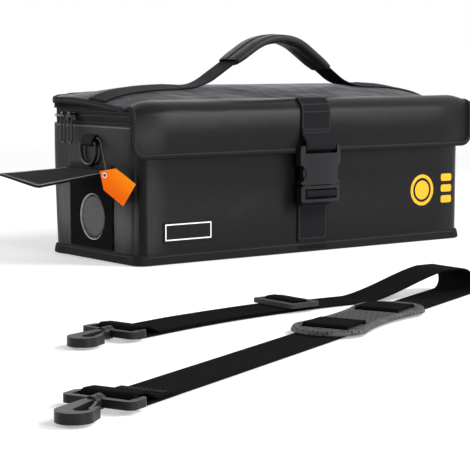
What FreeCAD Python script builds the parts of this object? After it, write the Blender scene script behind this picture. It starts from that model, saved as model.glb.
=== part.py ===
import FreeCAD, Part
import math
import os

# A fire-resistant battery bag: a long soft box with a zipped lid, a buckled front flap,
# a top handle, a cable port in its left end and a separate shoulder strap lying in front.
# Millimetres. Origin: the middle of the bag's underside. +X right along the front,
# +Y to the back, +Z up. The front faces -Y.

V = FreeCAD.Vector
X = V(1, 0, 0)
Y = V(0, 1, 0)
Z = V(0, 0, 1)

# ---- driving dimensions: the bag ---------------------------------------------------------
bag_length = 430.0
bag_depth = 150.0
corner_radius = 12.0
cloth = 1.2             # coated glass cloth, the outer skin
board = 3.0             # stiffening foam board inside every wall
lining = 0.8
sewn_gap = 0.1          # between layers that lie on each other
clearance = 0.3         # between pieces that move on each other
wall_top = 134.0        # top edge of the sewn walls, where the zip tape starts
binding_height = 10.0   # tape bound round the bottom edge
binding_thick = 1.2

# the zip round the left, front and right sides
zip_middle = 141.5
tooth_row_height = 1.7
tooth_row_depth = 2.6
tape_thick = 1.0
row_gap = 0.2
zip_end_from_back = 6.0
slider_length = 9.0
slider_height = 8.0
slider_plate = 1.2
slider_post = 1.6
bridge_reach = 4.2      # from the slider's outer plate to the bar that its pull turns on
back_slider_in = 25.0    # from the bag's back to the middle of the nearer slider
slider_spacing = 13.5
pull_length = 30.0
pull_width = 8.0
pull_wire = 1.6

# the lid
lid_bottom = 149.0
lid_edge_height = 6.0   # from the lid's lower edge up to where the flap's roll starts
lid_back_height = 11.0
lid_end_crown = 7.0     # from the lid's edge up to its middle line at the ends
lid_crown = 11.0        # what the middle line rises by from the ends to the bag's middle
hinge_bead = 1.0
lid_binding_height = 5.0
roll_radius = 14.0      # middle of the flap's cloth where it rolls over the lid's front edge

# the front flap
flap_bottom = 103.0
flap_overhang = 11.5
flap_thick = 2.0
flap_corner = 14.0
flap_border = 5.0
flap_border_thick = 3.2
flap_standoff = 3.5     # from the front wall to the back of the flap

# the handle
handle_width = 30.0
handle_thick = 1.6
handle_x = 5.0          # the handle sits a little right of the middle
handle_knee = 97.0      # from its middle to the corner where its legs would meet the lid
handle_height = 47.0    # from the lid's crown up to the middle of the webbing at the top
handle_slope = 29.5     # degrees
foot_radius = 55.0
foot_reach = 32.0       # from the knee out to the stitching
grip_left = -55.0
grip_right = 75.0
grip_width = 34.0
grip_thick = 8.5
grip_round = 3.0

# front webbing and its side-release buckle
webbing_width = 40.0
webbing_thick = 1.5
buckle_width = 53.0
buckle_depth = 11.0
buckle_back = 6.5       # from the front wall's face to the back of the buckle
socket_bottom = 70.5
socket_bar_z = 108.5
socket_bar_radius = 1.9
plug_top = 69.5
plug_bottom = 52.5
plug_bar_z = 61.0
sewn_top = 50.5         # lower webbing is sewn to the wall up to here
upper_sewn_bottom = 122.0
window_radius = 9.5
window_z = 82.0
arm_thick = 5.8
arm_gap = 1.1
arm_reach = 21.2

# side rings for the shoulder strap
ring_y = 8.5
ring_bar_z = 116.0
ring_wire = 3.5
ring_inner_width = 24.0
ring_leg = 8.0
tab_width = 22.0
tab_top = 124.0
tab_thick = 1.1

# cable port in the left end
port_radius = 23.0
port_y = 6.0
port_z = 42.5
patch_width = 81.0
patch_bottom = 11.0
patch_top = 85.5
patch_y = 8.5
patch_thick = 1.5
port_flap_size = 80.0
port_flap_thick = 2.4
port_flap_z = 88.0
port_flap_droop = 9.5   # degrees below level, as it stands open
hook_patch_size = 66.0
hook_patch_thick = 1.2
flap_pin = 1.2
curtain_size = 62.0
curtain_thick = 1.0

# label patch on the front
label_width = 60.0
label_height = 21.0
label_thick = 1.0
label_x = -157.0
label_z = 31.0

# hang tag on a string from the left ring's tab
tag_turn = 66.0         # degrees, the tag's plane from +X towards -Y
tag_lean = 33.6         # degrees, the tag's long axis below level
tag_width = 25.6
tag_length = 39.7
tag_thick = 0.8
tag_shoulder = 13.5     # length of its pointed end
tag_hole = 1.6
tag_hole_from_tip = 6.7
string_diameter = 1.0
tag_hole_out = 19.0      # from the bag's left end to the tag's hole
tag_hole_y = -46.0
tag_hole_z = 87.5
string_bend_out = 7.5

# the shoulder strap, lying flat in front of the bag
strap_width = 38.0
strap_thick = 1.6
short_run_start = V(-498.0, -405.0, 0.0)    # tip of the hook at the adjuster's end
short_run_turn = 15.0                       # degrees from +X towards +Y
short_run_bow = 18.0                        # degrees that it bends back on its way to the fold
short_run_bend = 675.0                      # radius of that gentle bow
short_run_straight = 110.0                  # the last stretch, which lifts to the fold
long_run_start = V(-626.0, -604.0, 0.0)     # tip of the hook at the pad's end
strap_loop_radius = 4.05
fold_radius = 10.0
glide_at = 150.0        # along the bow, from the hook's frame
glide_length = 30.0
glide_width = 49.0
glide_thick = 3.5
glide_bar = 6.0
glide_rail = 5.5
pad_at = 396.0          # along the long run
pad_length = 160.0
pad_width = 58.0
pad_waist = 46.0
pad_thick = 4.0
pad_slot = 5.0
pad_window = 26.0       # webbing that shows between two slots
pad_window_at = 45.0    # from the pad's middle to a window's middle

# swivel snap hooks
hook_thick = 6.5
hook_length = 40.0
hook_outer_radius = 11.3
hook_eye_radius = 2.3
collar_radius = 4.6
collar_length = 3.5
pin_radius = 2.2
pin_clearance = 0.1
barrel_radius = 4.8
frame_bar = 4.5
frame_length = 18.0
frame_width = 50.0
frame_thick = 5.0
frame_loop_bar = 2.5    # radius of the round bar that the webbing goes round
gate_thick = 1.8

# ---- values that follow ------------------------------------------------------------------
front = -bag_depth / 2
back = bag_depth / 2
left = -bag_length / 2
right = bag_length / 2
wall = cloth + board + lining
lid_edge = lid_bottom + lid_edge_height
lid_back_edge = lid_bottom + lid_back_height
row_low = zip_middle - row_gap / 2 - tooth_row_height
row_high = zip_middle + row_gap / 2 + tooth_row_height
flap_middle_y = front - flap_standoff - flap_thick / 2
roll_y = flap_middle_y + roll_radius
roll_z = lid_edge + 3.0 - roll_radius
nose_radius = roll_radius - flap_thick / 2 - clearance
hinge_y = back - cloth / 2
back_slider_y = back - back_slider_in
front_slider_y = back_slider_y - slider_spacing
tag_hole_at = V(left - tag_hole_out, tag_hole_y, tag_hole_z)
hinge_z = lid_bottom - hinge_bead - 0.2
handle_z = lid_edge + lid_end_crown + lid_crown
strap_z = strap_thick / 2
second_z = strap_thick * 1.5 + clearance
hook_z = strap_z + strap_loop_radius
buckle_front_y = front - buckle_back - buckle_depth
buckle_middle_y = front - buckle_back - buckle_depth / 2
ring_bar_x = left - ring_wire / 2 - clearance - tab_thick
port_hinge_x = left - patch_thick - clearance - hook_patch_thick - port_flap_thick / 2 - clearance
curtain_top = port_z + port_radius + 10.0
frame_start = hook_length + collar_length + clearance
frame_loop_at = frame_start + frame_length - frame_loop_bar
bow_start = frame_loop_at + 30.0


# ---- helpers -----------------------------------------------------------------------------
def save(name, *solids):
    shape = solids[0] if len(solids) == 1 else Part.makeCompound(list(solids))
    shape.exportStep("parts/" + name + ".step")


def box(x0, x1, y0, y1, z0, z1):
    return Part.makeBox(x1 - x0, y1 - y0, z1 - z0, V(x0, y0, z0))


def rod(start, direction, radius, length):
    return Part.makeCylinder(radius, length, start, direction)


def tube(start, direction, outer, inner, length):
    return rod(start, direction, outer, length).cut(rod(start, direction, inner, length))


def rounded_box(x0, x1, y0, y1, z0, z1, radius, axis=Z):
    """A box whose four edges along an axis are rounded."""
    block = box(x0, x1, y0, y1, z0, z1)
    edges = []
    for edge in block.Edges:
        along = edge.Vertexes[1].Point - edge.Vertexes[0].Point
        if along.cross(axis).Length < 1e-6:
            edges.append(edge)
    return block.makeFillet(radius, edges)


def footprint(inset, z0, z1):
    """The bag's rounded outline, moved in by inset, as a prism."""
    return rounded_box(left + inset, right - inset, front + inset, back - inset, z0, z1,
                       corner_radius - inset)


def rounded_path(points, radii, most=0.49):
    """Straight runs through points, joined by tangent arcs of one radius or one for each corner.
    An arc takes no more than a share of the run before it and of the run after it."""
    if not isinstance(radii, tuple):
        radii = (radii,) * (len(points) - 2)
    edges = []
    start = points[0]
    for before, corner, after, radius in zip(points, points[1:], points[2:], radii):
        a = (before - corner).normalize()
        b = (after - corner).normalize()
        half_turn = (math.pi - a.getAngle(b)) / 2
        reach = min(radius * math.tan(half_turn), most * (before - corner).Length,
                    most * (after - corner).Length)
        bend = reach / math.tan(half_turn)
        enter = corner + a * reach
        leave = corner + b * reach
        middle = corner + (a + b).normalize() * (bend / math.cos(half_turn) - bend)
        edges.append(Part.makeLine(start, enter))
        edges.append(Part.Arc(enter, middle, leave).toShape())
        start = leave
    edges.append(Part.makeLine(start, points[-1]))
    return Part.Wire(edges)


def ribbon(path, thick, width):
    """A strip of webbing or cloth: a flat path's line thickened both ways, and widened by a vector."""
    sides = [path.makeOffset2D(offset, 0, False, True) for offset in (thick / 2, -thick / 2)]
    ends = []
    for index in (0, -1):
        ends.append(Part.makeLine(sides[0].OrderedVertexes[index].Point,
                                  sides[1].OrderedVertexes[index].Point))
    outline = Part.Wire(Part.__sortEdges__(sides[0].Edges + sides[1].Edges + ends))
    strip = Part.Face(outline).extrude(width)
    strip.translate(width * -0.5)
    return strip


def in_yz(pairs):
    return [V(0, y, z) for y, z in pairs]


def in_xz(pairs):
    return [V(x, 0, z) for x, z in pairs]


def plate(points, thickness):
    """A flat plate from corner points, and arcs given as (point on the arc, end)."""
    edges = []
    here = points[0]
    for item in points[1:] + [points[0]]:
        if isinstance(item, tuple):
            edges.append(Part.Arc(here, item[0], item[1]).toShape())
            here = item[1]
        elif (item - here).Length > 1e-6:
            edges.append(Part.makeLine(here, item))
            here = item
    return Part.Face(Part.Wire(edges)).extrude(thickness)


def port_bore(x0, x1):
    return rod(V(x0, port_y, port_z), X, port_radius, x1 - x0)


# ---- the box -----------------------------------------------------------------------------
def make_walls():
    outer = footprint(0, 0, wall_top).cut(footprint(cloth, -1, wall_top + 1))
    save("outer_wall", outer.cut(port_bore(left - 1, left + wall + 1)))
    save("outer_bottom", footprint(cloth + sewn_gap, 0, cloth))
    binding = footprint(-sewn_gap - binding_thick, 0, binding_height)
    save("base_binding", binding.cut(footprint(-sewn_gap, -1, binding_height + 1)))

    inner = cloth + board
    x = right - corner_radius
    y = back - corner_radius
    long_board = box(-x, x, front + cloth, front + inner, cloth, wall_top)
    save("long_boards", long_board, long_board.mirror(V(0, 0, 0), Y))
    end_board = box(left + cloth, left + inner, -y, y, cloth, wall_top)
    save("left_board", end_board.cut(port_bore(left - 1, left + wall + 1)))
    save("right_board", end_board.mirror(V(0, 0, 0), X))
    save("bottom_board", footprint(inner, cloth, inner))

    lined = footprint(inner, inner, wall_top).cut(footprint(wall, wall, wall_top + 1))
    save("inner_lining", lined.cut(port_bore(left - 1, left + wall + 1)))

    hinge = box(-x, x, back - cloth, back, wall_top, hinge_z - 0.5)
    bead = rod(V(-x, hinge_y, hinge_z), X, hinge_bead, 2 * x)
    save("lid_hinge_cloth", hinge.fuse(bead).removeSplitter())


def three_sides(outset, inset, z0, z1):
    """A strip that follows the left, front and right sides, and stops short of the back."""
    ring = footprint(outset, z0, z1).cut(footprint(inset, z0 - 1, z1 + 1))
    return ring.cut(box(left - 9, right + 9, back - zip_end_from_back, back + 9, z0 - 1, z1 + 1))


def parting():
    """The lens between the two sliders, where the rows of teeth stand apart."""
    start = V(left - 9, front_slider_y - 0.5, zip_middle)
    end = V(left - 9, back_slider_y + 0.5, zip_middle)
    middle = (start + end) * 0.5
    rise = Z * (tooth_row_height - row_gap)
    return plate([start, (middle + rise, end), (middle - rise, start)], X * 18)


def make_zip():
    outset = tape_thick + sewn_gap - tooth_row_depth
    inset = tape_thick + sewn_gap
    save("zip_tape_lower", three_sides(sewn_gap, inset, wall_top, row_low))
    save("zip_tape_upper", three_sides(sewn_gap, inset, row_high, lid_bottom))
    gap = parting()
    lower = three_sides(outset, inset, row_low, row_low + tooth_row_height)
    upper = three_sides(outset, inset, row_high - tooth_row_height, row_high)
    save("zip_teeth_lower", lower.cut(gap))
    save("zip_teeth_upper", upper.cut(gap))
    return left + outset, left + inset


def make_slider(name, y, post_side, teeth_out, teeth_in):
    """A zip slider: two plates over the rows of teeth, the post that parts them, and the bridge
    that its pull turns on."""
    half = slider_length / 2
    outer_x = teeth_out - clearance - slider_plate
    inner_x = teeth_in + clearance
    z0 = zip_middle - slider_height / 2
    z1 = zip_middle + slider_height / 2
    outer = rounded_box(outer_x, outer_x + slider_plate, y - half, y + half, z0, z1, 2.5, X)
    inner = rounded_box(inner_x, inner_x + slider_plate, y - half, y + half, z0, z1, 2.5, X)
    post_y = y + post_side * (half - slider_post)
    post = rod(V(outer_x, post_y, zip_middle), X, slider_post / 2, inner_x + slider_plate - outer_x)
    bar_x, bar_z = pull_pivot(teeth_out)
    bridge = rod(V(bar_x, y - half + 0.6, bar_z), Y, 0.8, slider_length - 1.2)
    slider = outer.fuse([inner, post, bridge])
    for side in (-1, 1):
        leg_y = y + side * (half - 1.4)
        slider = slider.fuse(box(bar_x, outer_x + 0.2, leg_y - 0.8, leg_y + 0.8, bar_z - 0.8, bar_z + 0.8))
    save(name, slider.removeSplitter())


def pull_pivot(teeth_out):
    return teeth_out - clearance - slider_plate - bridge_reach, zip_middle + 2.5


def make_pull(name, y, teeth_out):
    """A long wire loop with an eye round the slider's bridge."""
    bar_x, bar_z = pull_pivot(teeth_out)
    radius = pull_wire / 2
    reach = pull_width / 2 - radius
    low = bar_z - pull_length + pull_width / 2
    eye = tube(V(bar_x, y - 2.1, bar_z), Y, 1.9, 1.1, 4.2)
    yoke = box(bar_x - radius, bar_x + radius, y - pull_width / 2, y + pull_width / 2,
               bar_z - 1.7 - pull_wire, bar_z - 1.7)
    loop = bent_wire(V(bar_x, y + reach, low), Z, radius, V(bar_x, y, low), X, -180)
    legs = [rod(V(bar_x, y + side * reach, low), Z, radius, bar_z - 2.5 - low) for side in (-1, 1)]
    save(name, eye.fuse([yoke, loop] + legs))


# ---- the lid -----------------------------------------------------------------------------
def crown_z(x):
    """Height of the lid's top along its middle line."""
    share = 1 - (x / right) ** 4
    return lid_edge + lid_end_crown + lid_crown * share


def lid_form(inset):
    """The lid's domed form, moved in by inset: a rolled front nose, a crowned top, open corners."""
    sections = []
    nose = nose_radius - inset
    front_y = front + inset
    nose_z = roll_z + math.sqrt(nose ** 2 - (roll_y - front_y) ** 2)
    turn = (math.atan2(nose_z - roll_z, front_y - roll_y) + math.pi / 2) / 2
    for x in (left, left / 2, 0, right / 2, right):
        low_front = V(x, front_y, lid_bottom)
        high_front = V(x, front_y, nose_z)
        on_nose = V(x, roll_y + nose * math.cos(turn), roll_z + nose * math.sin(turn))
        nose_top = V(x, roll_y, roll_z + nose)
        crown = V(x, (roll_y + back) / 2, crown_z(x) - inset)
        high_back = V(x, back - inset, lid_back_edge - inset)
        low_back = V(x, back - inset, lid_bottom)
        sections.append(Part.Wire([
            Part.makeLine(low_front, high_front),
            Part.Arc(high_front, on_nose, nose_top).toShape(),
            Part.Arc(nose_top, crown, high_back).toShape(),
            Part.makeLine(high_back, low_back),
            Part.makeLine(low_back, low_front),
        ]))
    dome = Part.makeLoft(sections, True, False)
    return dome.common(footprint(inset, lid_bottom - 1, lid_edge + 40))


def make_lid():
    layers = {
        "lid_panel": (0, cloth),
        "lid_board": (cloth + sewn_gap, cloth + sewn_gap + board),
        "lid_lining": (cloth + board + 2 * sewn_gap, wall + 2 * sewn_gap),
    }
    for name, (outside, inside) in layers.items():
        save(name, lid_form(outside).cut(lid_form(inside)))
    binding = footprint(-sewn_gap - binding_thick, lid_bottom + 1, lid_bottom + 1 + lid_binding_height)
    binding = binding.cut(footprint(-sewn_gap, lid_bottom, lid_edge + 9))
    ends = box(left - 9, right + 9, roll_y + 2, back + 9, lid_bottom, lid_edge + 9)
    save("lid_binding", binding.common(ends))


# ---- the handle --------------------------------------------------------------------------
def sewn_handle_strip(inner, outer):
    """A stretch of the handle's webbing, sewn down along the lid's crown."""
    stations = (inner, (inner + outer) / 2, outer)
    low = [V(x, -handle_width / 2, crown_z(x) + clearance) for x in stations]
    high = [point + Z * handle_thick for point in low]
    return plate([low[0], (low[1], low[2]), high[2], (high[1], high[0])], Y * handle_width)


def handle_arch(thick, width):
    """The free stretch of webbing between the sewn strips."""
    foot = handle_knee + foot_reach

    def on_lid(x):
        return x, crown_z(handle_x + x) + clearance + handle_thick / 2

    slope = math.radians(handle_slope)
    apex_z = on_lid(handle_knee)[1] + handle_knee * math.tan(slope)
    top_radius = (apex_z - handle_z - handle_height) / (1 / math.cos(slope) - 1)
    path = rounded_path(in_xz([
        on_lid(-foot), on_lid(-handle_knee), (0, apex_z), on_lid(handle_knee), on_lid(foot),
    ]), (foot_radius, top_radius, foot_radius))
    arch = ribbon(path, thick, Y * width)
    arch.translate(X * handle_x)
    return arch


def make_handle():
    foot = handle_knee + foot_reach + sewn_gap
    save("handle_webbing_sewn", sewn_handle_strip(handle_x - foot, left + 2),
         sewn_handle_strip(handle_x + foot, right - 2))
    webbing = handle_arch(handle_thick, handle_width)
    high = handle_z + handle_height + 40
    grip_span = box(grip_left, grip_right, -40, 40, 0, high)
    save("handle_core", webbing.common(grip_span))
    save("handle_leg_left", webbing.common(box(left, grip_left, -40, 40, 0, high)))
    save("handle_leg_right", webbing.common(box(grip_right, right, -40, 40, 0, high)))
    pad = handle_arch(grip_thick, grip_width).common(grip_span)
    slit = handle_arch(handle_thick + 2 * sewn_gap, handle_width + 2 * sewn_gap)
    save("handle_grip", pad.cut(slit))


# ---- the front flap ----------------------------------------------------------------------
def flap_sheet(thick):
    """The flap's cloth: rolled over the lid's front edge, then hanging down the front."""
    straight = V(0, flap_middle_y, roll_z)
    top = V(0, roll_y, roll_z + roll_radius)
    corner = math.radians(135)
    on_roll = V(0, roll_y + roll_radius * math.cos(corner), roll_z + roll_radius * math.sin(corner))
    path = Part.Wire([
        Part.Arc(top, on_roll, straight).toShape(),
        Part.makeLine(straight, V(0, flap_middle_y, flap_bottom - 9)),
    ])
    return ribbon(path, thick, X * (bag_length + 4 * flap_overhang))


def flap_outline(inset):
    x = right + flap_overhang - inset
    shape = rounded_box(-x, x, front - 40, roll_y + 9, flap_bottom + inset, lid_edge + 60,
                        flap_corner - inset, Y)
    return shape


def make_flap():
    panel = flap_sheet(flap_thick).common(flap_outline(0.8))
    rim = flap_outline(0).cut(flap_outline(flap_border))
    binding = flap_sheet(flap_border_thick).common(rim).cut(panel)
    save("flap_panel", panel)
    save("flap_binding", binding)


# ---- front webbing and buckle ------------------------------------------------------------
def make_front_webbing():
    half = webbing_thick / 2
    sewn_y = front - half - sewn_gap
    low = box(-webbing_width / 2, webbing_width / 2, sewn_y - half, sewn_y + half,
              binding_height, sewn_top)
    save("buckle_strap_lower", low)

    bar_front = buckle_middle_y - 2.6 - clearance - webbing_thick / 2
    loop = rounded_path(in_yz([
        (sewn_y, sewn_top + sewn_gap), (front - 3.6, plug_bar_z - 3), (front - 4.2, plug_bar_z + 3.4),
        (bar_front, plug_bar_z + 3.4), (bar_front, plug_bar_z - 3.4), (front - 6.2, plug_bar_z - 3.4),
        (front - 5.8, sewn_top - 2),
    ]), 2.2)
    save("buckle_strap_loop", ribbon(loop, webbing_thick, X * webbing_width))

    first = flap_middle_y - flap_thick / 2 - half - sewn_gap
    second = first - webbing_thick - sewn_gap
    around = socket_bar_radius + clearance + half
    roll = roll_radius + flap_thick / 2 + half + sewn_gap
    start = math.radians(115)
    on_roll = math.radians(150)
    over = Part.Arc(V(0, roll_y + roll * math.cos(start), roll_z + roll * math.sin(start)),
                    V(0, roll_y + roll * math.cos(on_roll), roll_z + roll * math.sin(on_roll)),
                    V(0, first, roll_z)).toShape()
    hang = rounded_path(in_yz([
        (first, roll_z), (first, upper_sewn_bottom + 8), (second, upper_sewn_bottom),
        (buckle_middle_y - around, socket_bar_z + 5), (buckle_middle_y - around, socket_bar_z - around),
        (buckle_middle_y + around, socket_bar_z - around), (first, socket_bar_z + 5.5),
        (first, upper_sewn_bottom - 1),
    ]), around)
    save("buckle_strap_upper", ribbon(Part.Wire([over] + hang.Edges), webbing_thick, X * webbing_width))


def make_socket():
    """The buckle's upper half: a crowned housing, open below, with finger windows at its sides."""
    half = buckle_width / 2
    y0 = buckle_front_y
    y1 = buckle_front_y + buckle_depth
    top = socket_bar_z + socket_bar_radius
    body = rounded_box(-half, half, y0, y1, socket_bottom, top, 4.0, Y)
    section = plate([V(-half, y1, 0), V(half, y1, 0), V(half, y0 + 3, 0),
                     (V(0, y0, 0), V(-half, y0 + 3, 0))], Z * 200)
    body = body.common(section)
    slot_half = webbing_width / 2 + 1.0
    slot = box(-slot_half, slot_half, y0 - 1, y1 + 1, socket_bar_z - 6, top + 1)
    body = body.cut(slot)
    body = body.fuse(rod(V(-slot_half - 1, buckle_middle_y, socket_bar_z), X, socket_bar_radius,
                         2 * slot_half + 2))
    inner = arm_thick / 2 + clearance + 0.1
    chamber = box(-arm_reach - arm_gap, arm_reach + arm_gap, buckle_middle_y - inner, buckle_middle_y + inner,
                  socket_bottom - 1, window_z + window_radius + 3)
    body = body.cut(chamber)
    for side in (-1, 1):
        finger = rod(V(side * (half + 3.0), y0 - 1, window_z), Y, window_radius, buckle_depth + 2)
        body = body.cut(finger)
    save("buckle_socket", body.removeSplitter())


def make_plug():
    """The buckle's lower half: a ladder frame for the webbing, and two sprung arms with barbs."""
    half = buckle_width / 2 - 1.0
    y0 = buckle_front_y + 0.5
    y1 = buckle_front_y + buckle_depth - 0.5
    frame = rounded_box(-half, half, y0, y1, plug_bottom, plug_top, 3.0, Y)
    section = plate([V(-half, y1, 0), V(half, y1, 0), V(half, y0 + 2.5, 0),
                     (V(0, y0, 0), V(-half, y0 + 2.5, 0))], Z * 200)
    frame = frame.common(section)
    opening = webbing_width / 2 + 1.0
    frame = frame.cut(box(-opening, opening, y0 - 1, y1 + 1, plug_bar_z - 5.2, plug_bar_z + 5.2))
    bar = box(-opening - 1, opening + 1, buckle_middle_y - 2.6, buckle_middle_y + 2.6,
              plug_bar_z - 1.9, plug_bar_z + 1.9)
    save("buckle_plug", frame.fuse(bar).removeSplitter())
    for name, side in (("buckle_arm_left", -1), ("buckle_arm_right", 1)):
        y = buckle_middle_y - arm_thick / 2
        z0 = plug_top

        def at(x, z):
            return V(side * x, y, z)

        arm = plate([
            at(13.0, z0), at(19.5, z0),
            (at(20.5, z0 + 3.2), at(arm_reach, z0 + 6.0)),
            (at(arm_reach + 2.5, window_z), at(arm_reach, z0 + 20.0)),
            at(16.0, z0 + 24.0),
            (at(13.6, z0 + 22.5), at(14.6, z0 + 19.5)),
            (at(17.5, window_z), at(14.8, z0 + 5.0)),
        ], Y * arm_thick)
        save(name, arm)


# ---- side rings, port, label, tag --------------------------------------------------------
def make_ring_tab():
    wrap = ring_wire / 2 + clearance + tab_thick
    patch = box(left - tab_thick, left, ring_y - tab_width / 2, ring_y + tab_width / 2, ring_bar_z, tab_top)
    outer = box(left - 2 * wrap, left, ring_y - tab_width / 2, ring_y + tab_width / 2,
                ring_bar_z, tab_top - 2)
    outer = outer.common(box(ring_bar_x - wrap, left, -50, 100, ring_bar_z, ring_bar_z + 3))
    sleeve = rod(V(ring_bar_x, ring_y - tab_width / 2, ring_bar_z), Y, wrap, tab_width)
    tab = patch.fuse([outer, sleeve])
    tab = tab.cut(rod(V(ring_bar_x, ring_y - 50, ring_bar_z), Y, ring_wire / 2 + clearance, 100))
    return tab.common(box(left - 20, left, -50, 100, 0, tab_top)).removeSplitter()


def bent_wire(start, direction, radius, centre, axis, angle):
    """Round wire bent about an axis, from a start point and its direction there."""
    circle = Part.Wire([Part.makeCircle(radius, start, direction)])
    return Part.Face(circle).revolve(centre, axis, angle)


def make_ring():
    """A D-shaped ring of bent wire: its straight bar in the tab, its bow hanging down."""
    radius = ring_wire / 2
    corner = ring_wire
    reach = ring_inner_width / 2 + radius
    low = ring_bar_z - ring_leg

    def at(across, z):
        return V(ring_bar_x, ring_y + across, z)

    bar = rod(at(corner - reach, ring_bar_z), Y, radius, 2 * (reach - corner))
    bow = bent_wire(at(reach, low), Z, radius, at(0, low), X, -180)
    pieces = [bow]
    for side in (-1, 1):
        pieces.append(rod(at(side * reach, low), Z, radius, ring_leg - corner))
        pieces.append(bent_wire(at(side * (reach - corner), ring_bar_z), Y, radius,
                                at(side * (reach - corner), ring_bar_z - corner), X, -side * 90))
    return bar.fuse(pieces)


def make_rings():
    tab = make_ring_tab()
    save("ring_tabs", tab, tab.mirror(V(0, 0, 0), X))
    ring = make_ring()
    save("ring_left", ring)
    save("ring_right", ring.mirror(V(0, 0, 0), X))


def make_port():
    patch = box(left - patch_thick, left, patch_y - patch_width / 2, patch_y + patch_width / 2,
                patch_bottom, patch_top)
    save("port_loop_patch", patch.cut(port_bore(left - 9, left + 1)))

    half = port_flap_size / 2
    seam_top = port_flap_z + 7.0
    seam = box(port_hinge_x, left, patch_y - half, patch_y + half, port_flap_z + 1.0, port_flap_z + 2.4)
    seam = seam.fuse(box(left - 1.2, left, patch_y - half, patch_y + half, port_flap_z + 1.0, seam_top))
    drop = box(port_hinge_x - 0.6, port_hinge_x + 0.6, patch_y - half, patch_y + half,
               port_flap_z, port_flap_z + 2.4)
    bead = rod(V(port_hinge_x, patch_y - half, port_flap_z), Y, flap_pin, port_flap_size)
    save("port_flap_seam", seam.fuse([drop, bead]).removeSplitter())

    start = flap_pin + clearance
    sheet = rounded_box(-start - port_flap_size, -start, patch_y - half, patch_y + half,
                        -port_flap_thick / 2, port_flap_thick / 2, 6.0)
    hooks_half = hook_patch_size / 2
    hooks = box(-start - half - hooks_half, -start - half + hooks_half, patch_y - hooks_half,
                patch_y + hooks_half, -port_flap_thick / 2 - hook_patch_thick, -port_flap_thick / 2)
    for name, piece in (("port_flap", sheet), ("port_flap_hooks", hooks)):
        piece.rotate(V(0, 0, 0), Y, -port_flap_droop)
        piece.translate(V(port_hinge_x, 0, port_flap_z))
        save(name, piece)

    x0 = left + wall + clearance
    curtain = rounded_box(x0, x0 + curtain_thick, port_y - curtain_size / 2, port_y + curtain_size / 2,
                          curtain_top - curtain_size - 6, curtain_top, 8.0, X)
    save("port_curtain", curtain)


def make_label():
    save("label_patch", rounded_box(label_x - label_width / 2, label_x + label_width / 2,
                                    front - label_thick, front, label_z - label_height / 2,
                                    label_z + label_height / 2, 1.5, Y))


def make_tag():
    """A pointed card with an eyelet, leaning on a string from the left ring's tab."""
    turn = math.radians(tag_turn)
    along = V(math.cos(turn), -math.sin(turn), 0)
    normal = along.cross(Z)
    lean = math.radians(tag_lean)
    axis = along * math.cos(lean) - Z * math.sin(lean)
    side = normal.cross(axis)
    tip = tag_hole_at - axis * tag_hole_from_tip
    shoulder = tip + axis * tag_shoulder
    end = tip + axis * tag_length
    half = side * (tag_width / 2)
    card = plate([tip, shoulder + half, end + half, end - half, shoulder - half], normal * tag_thick)
    card.translate(normal * (-tag_thick / 2))
    eyelet_radius = tag_hole + 1.0
    card = card.cut(rod(tag_hole_at - normal * 3, normal, eyelet_radius, 6))
    save("tag_card", card)
    eyelet = tube(tag_hole_at - normal * (tag_thick / 2 + 0.2), normal, eyelet_radius, tag_hole,
                  tag_thick + 0.4)
    save("tag_eyelet", eyelet)

    route = [
        V(left - 1.2, ring_y - tab_width / 2 - 0.6, ring_bar_z + 5.0),
        V(left - 1.2, ring_y - tab_width / 2 - 7.5, ring_bar_z + 4.5),
        V(left - string_bend_out, -24.0, 106.0),
        tag_hole_at - normal * 3.4 + Z * 2.0,
        tag_hole_at + normal * 1.4,
    ]
    string = cord_tube(route, string_diameter)
    save("tag_string", string)


def cord_tube(route, diameter):
    """A round cord along straight runs joined by arcs nearly as large as the runs allow."""
    path = rounded_path(route, 1000.0, 0.45)
    circle = Part.Wire([Part.makeCircle(diameter / 2, route[0], route[1] - route[0])])
    return path.makePipeShell([circle], True, True)


# ---- the shoulder strap ------------------------------------------------------------------
def heading(turn):
    return V(math.cos(math.radians(turn)), math.sin(math.radians(turn)), 0)


def bow_pivot():
    """The middle of the circle that the short run's bow follows."""
    start = short_run_start + heading(short_run_turn) * bow_start
    return start + heading(short_run_turn - 90) * short_run_bend


def bow_point(distance):
    """Where the short run is, and its direction in degrees, at a distance along its bow."""
    turn = short_run_turn - math.degrees(distance / short_run_bend)
    return bow_pivot() + heading(turn + 90) * short_run_bend, turn


def lay(shape, start, turn):
    """Put a shape that was made along +X onto one of the strap's runs."""
    placed = shape.copy()
    placed.rotate(V(0, 0, 0), Z, turn)
    placed.translate(start)
    return placed


def fold_frame():
    """The fold's middle, the direction that both runs head for it, and the long run's end."""
    bow_end, end_turn = bow_point(math.radians(short_run_bow) * short_run_bend)
    short_end = bow_end + heading(end_turn) * short_run_straight
    to_fold = (short_end - long_run_start).normalize()
    ahead = (heading(end_turn) + to_fold).normalize()
    across = Z.cross(ahead)
    sidestep = across * (math.pi * fold_radius * math.tan(to_fold.getAngle(ahead)))
    return short_end - sidestep * 0.5, ahead, short_end - sidestep


def long_run():
    """The long run's direction in degrees and its length from the hook's tip to the fold."""
    reach = fold_frame()[2] - long_run_start
    return math.degrees(math.atan2(reach.y, reach.x)), reach.Length


def hook_outline():
    """The hook's flat outline: tip at the left, spine along the top, beak below."""
    r = hook_outer_radius
    top = 2.8
    centre = V(r, top - r, 0)
    steep = math.radians(200)
    return [
        V(hook_length, 3.3, 0), V(r, top, 0),
        (centre + V(r * math.cos(steep), r * math.sin(steep), 0), V(r + 1.5, top - 2 * r, 0)),
        V(24.5, -16.6, 0), V(23.8, -14.6, 0), V(17.5, -13.6, 0),
        (V(9.3, -9.6, 0), V(14.0, -6.8, 0)),
        V(hook_length - 2, -3.0, 0), V(hook_length, -3.0, 0),
    ]


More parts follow.
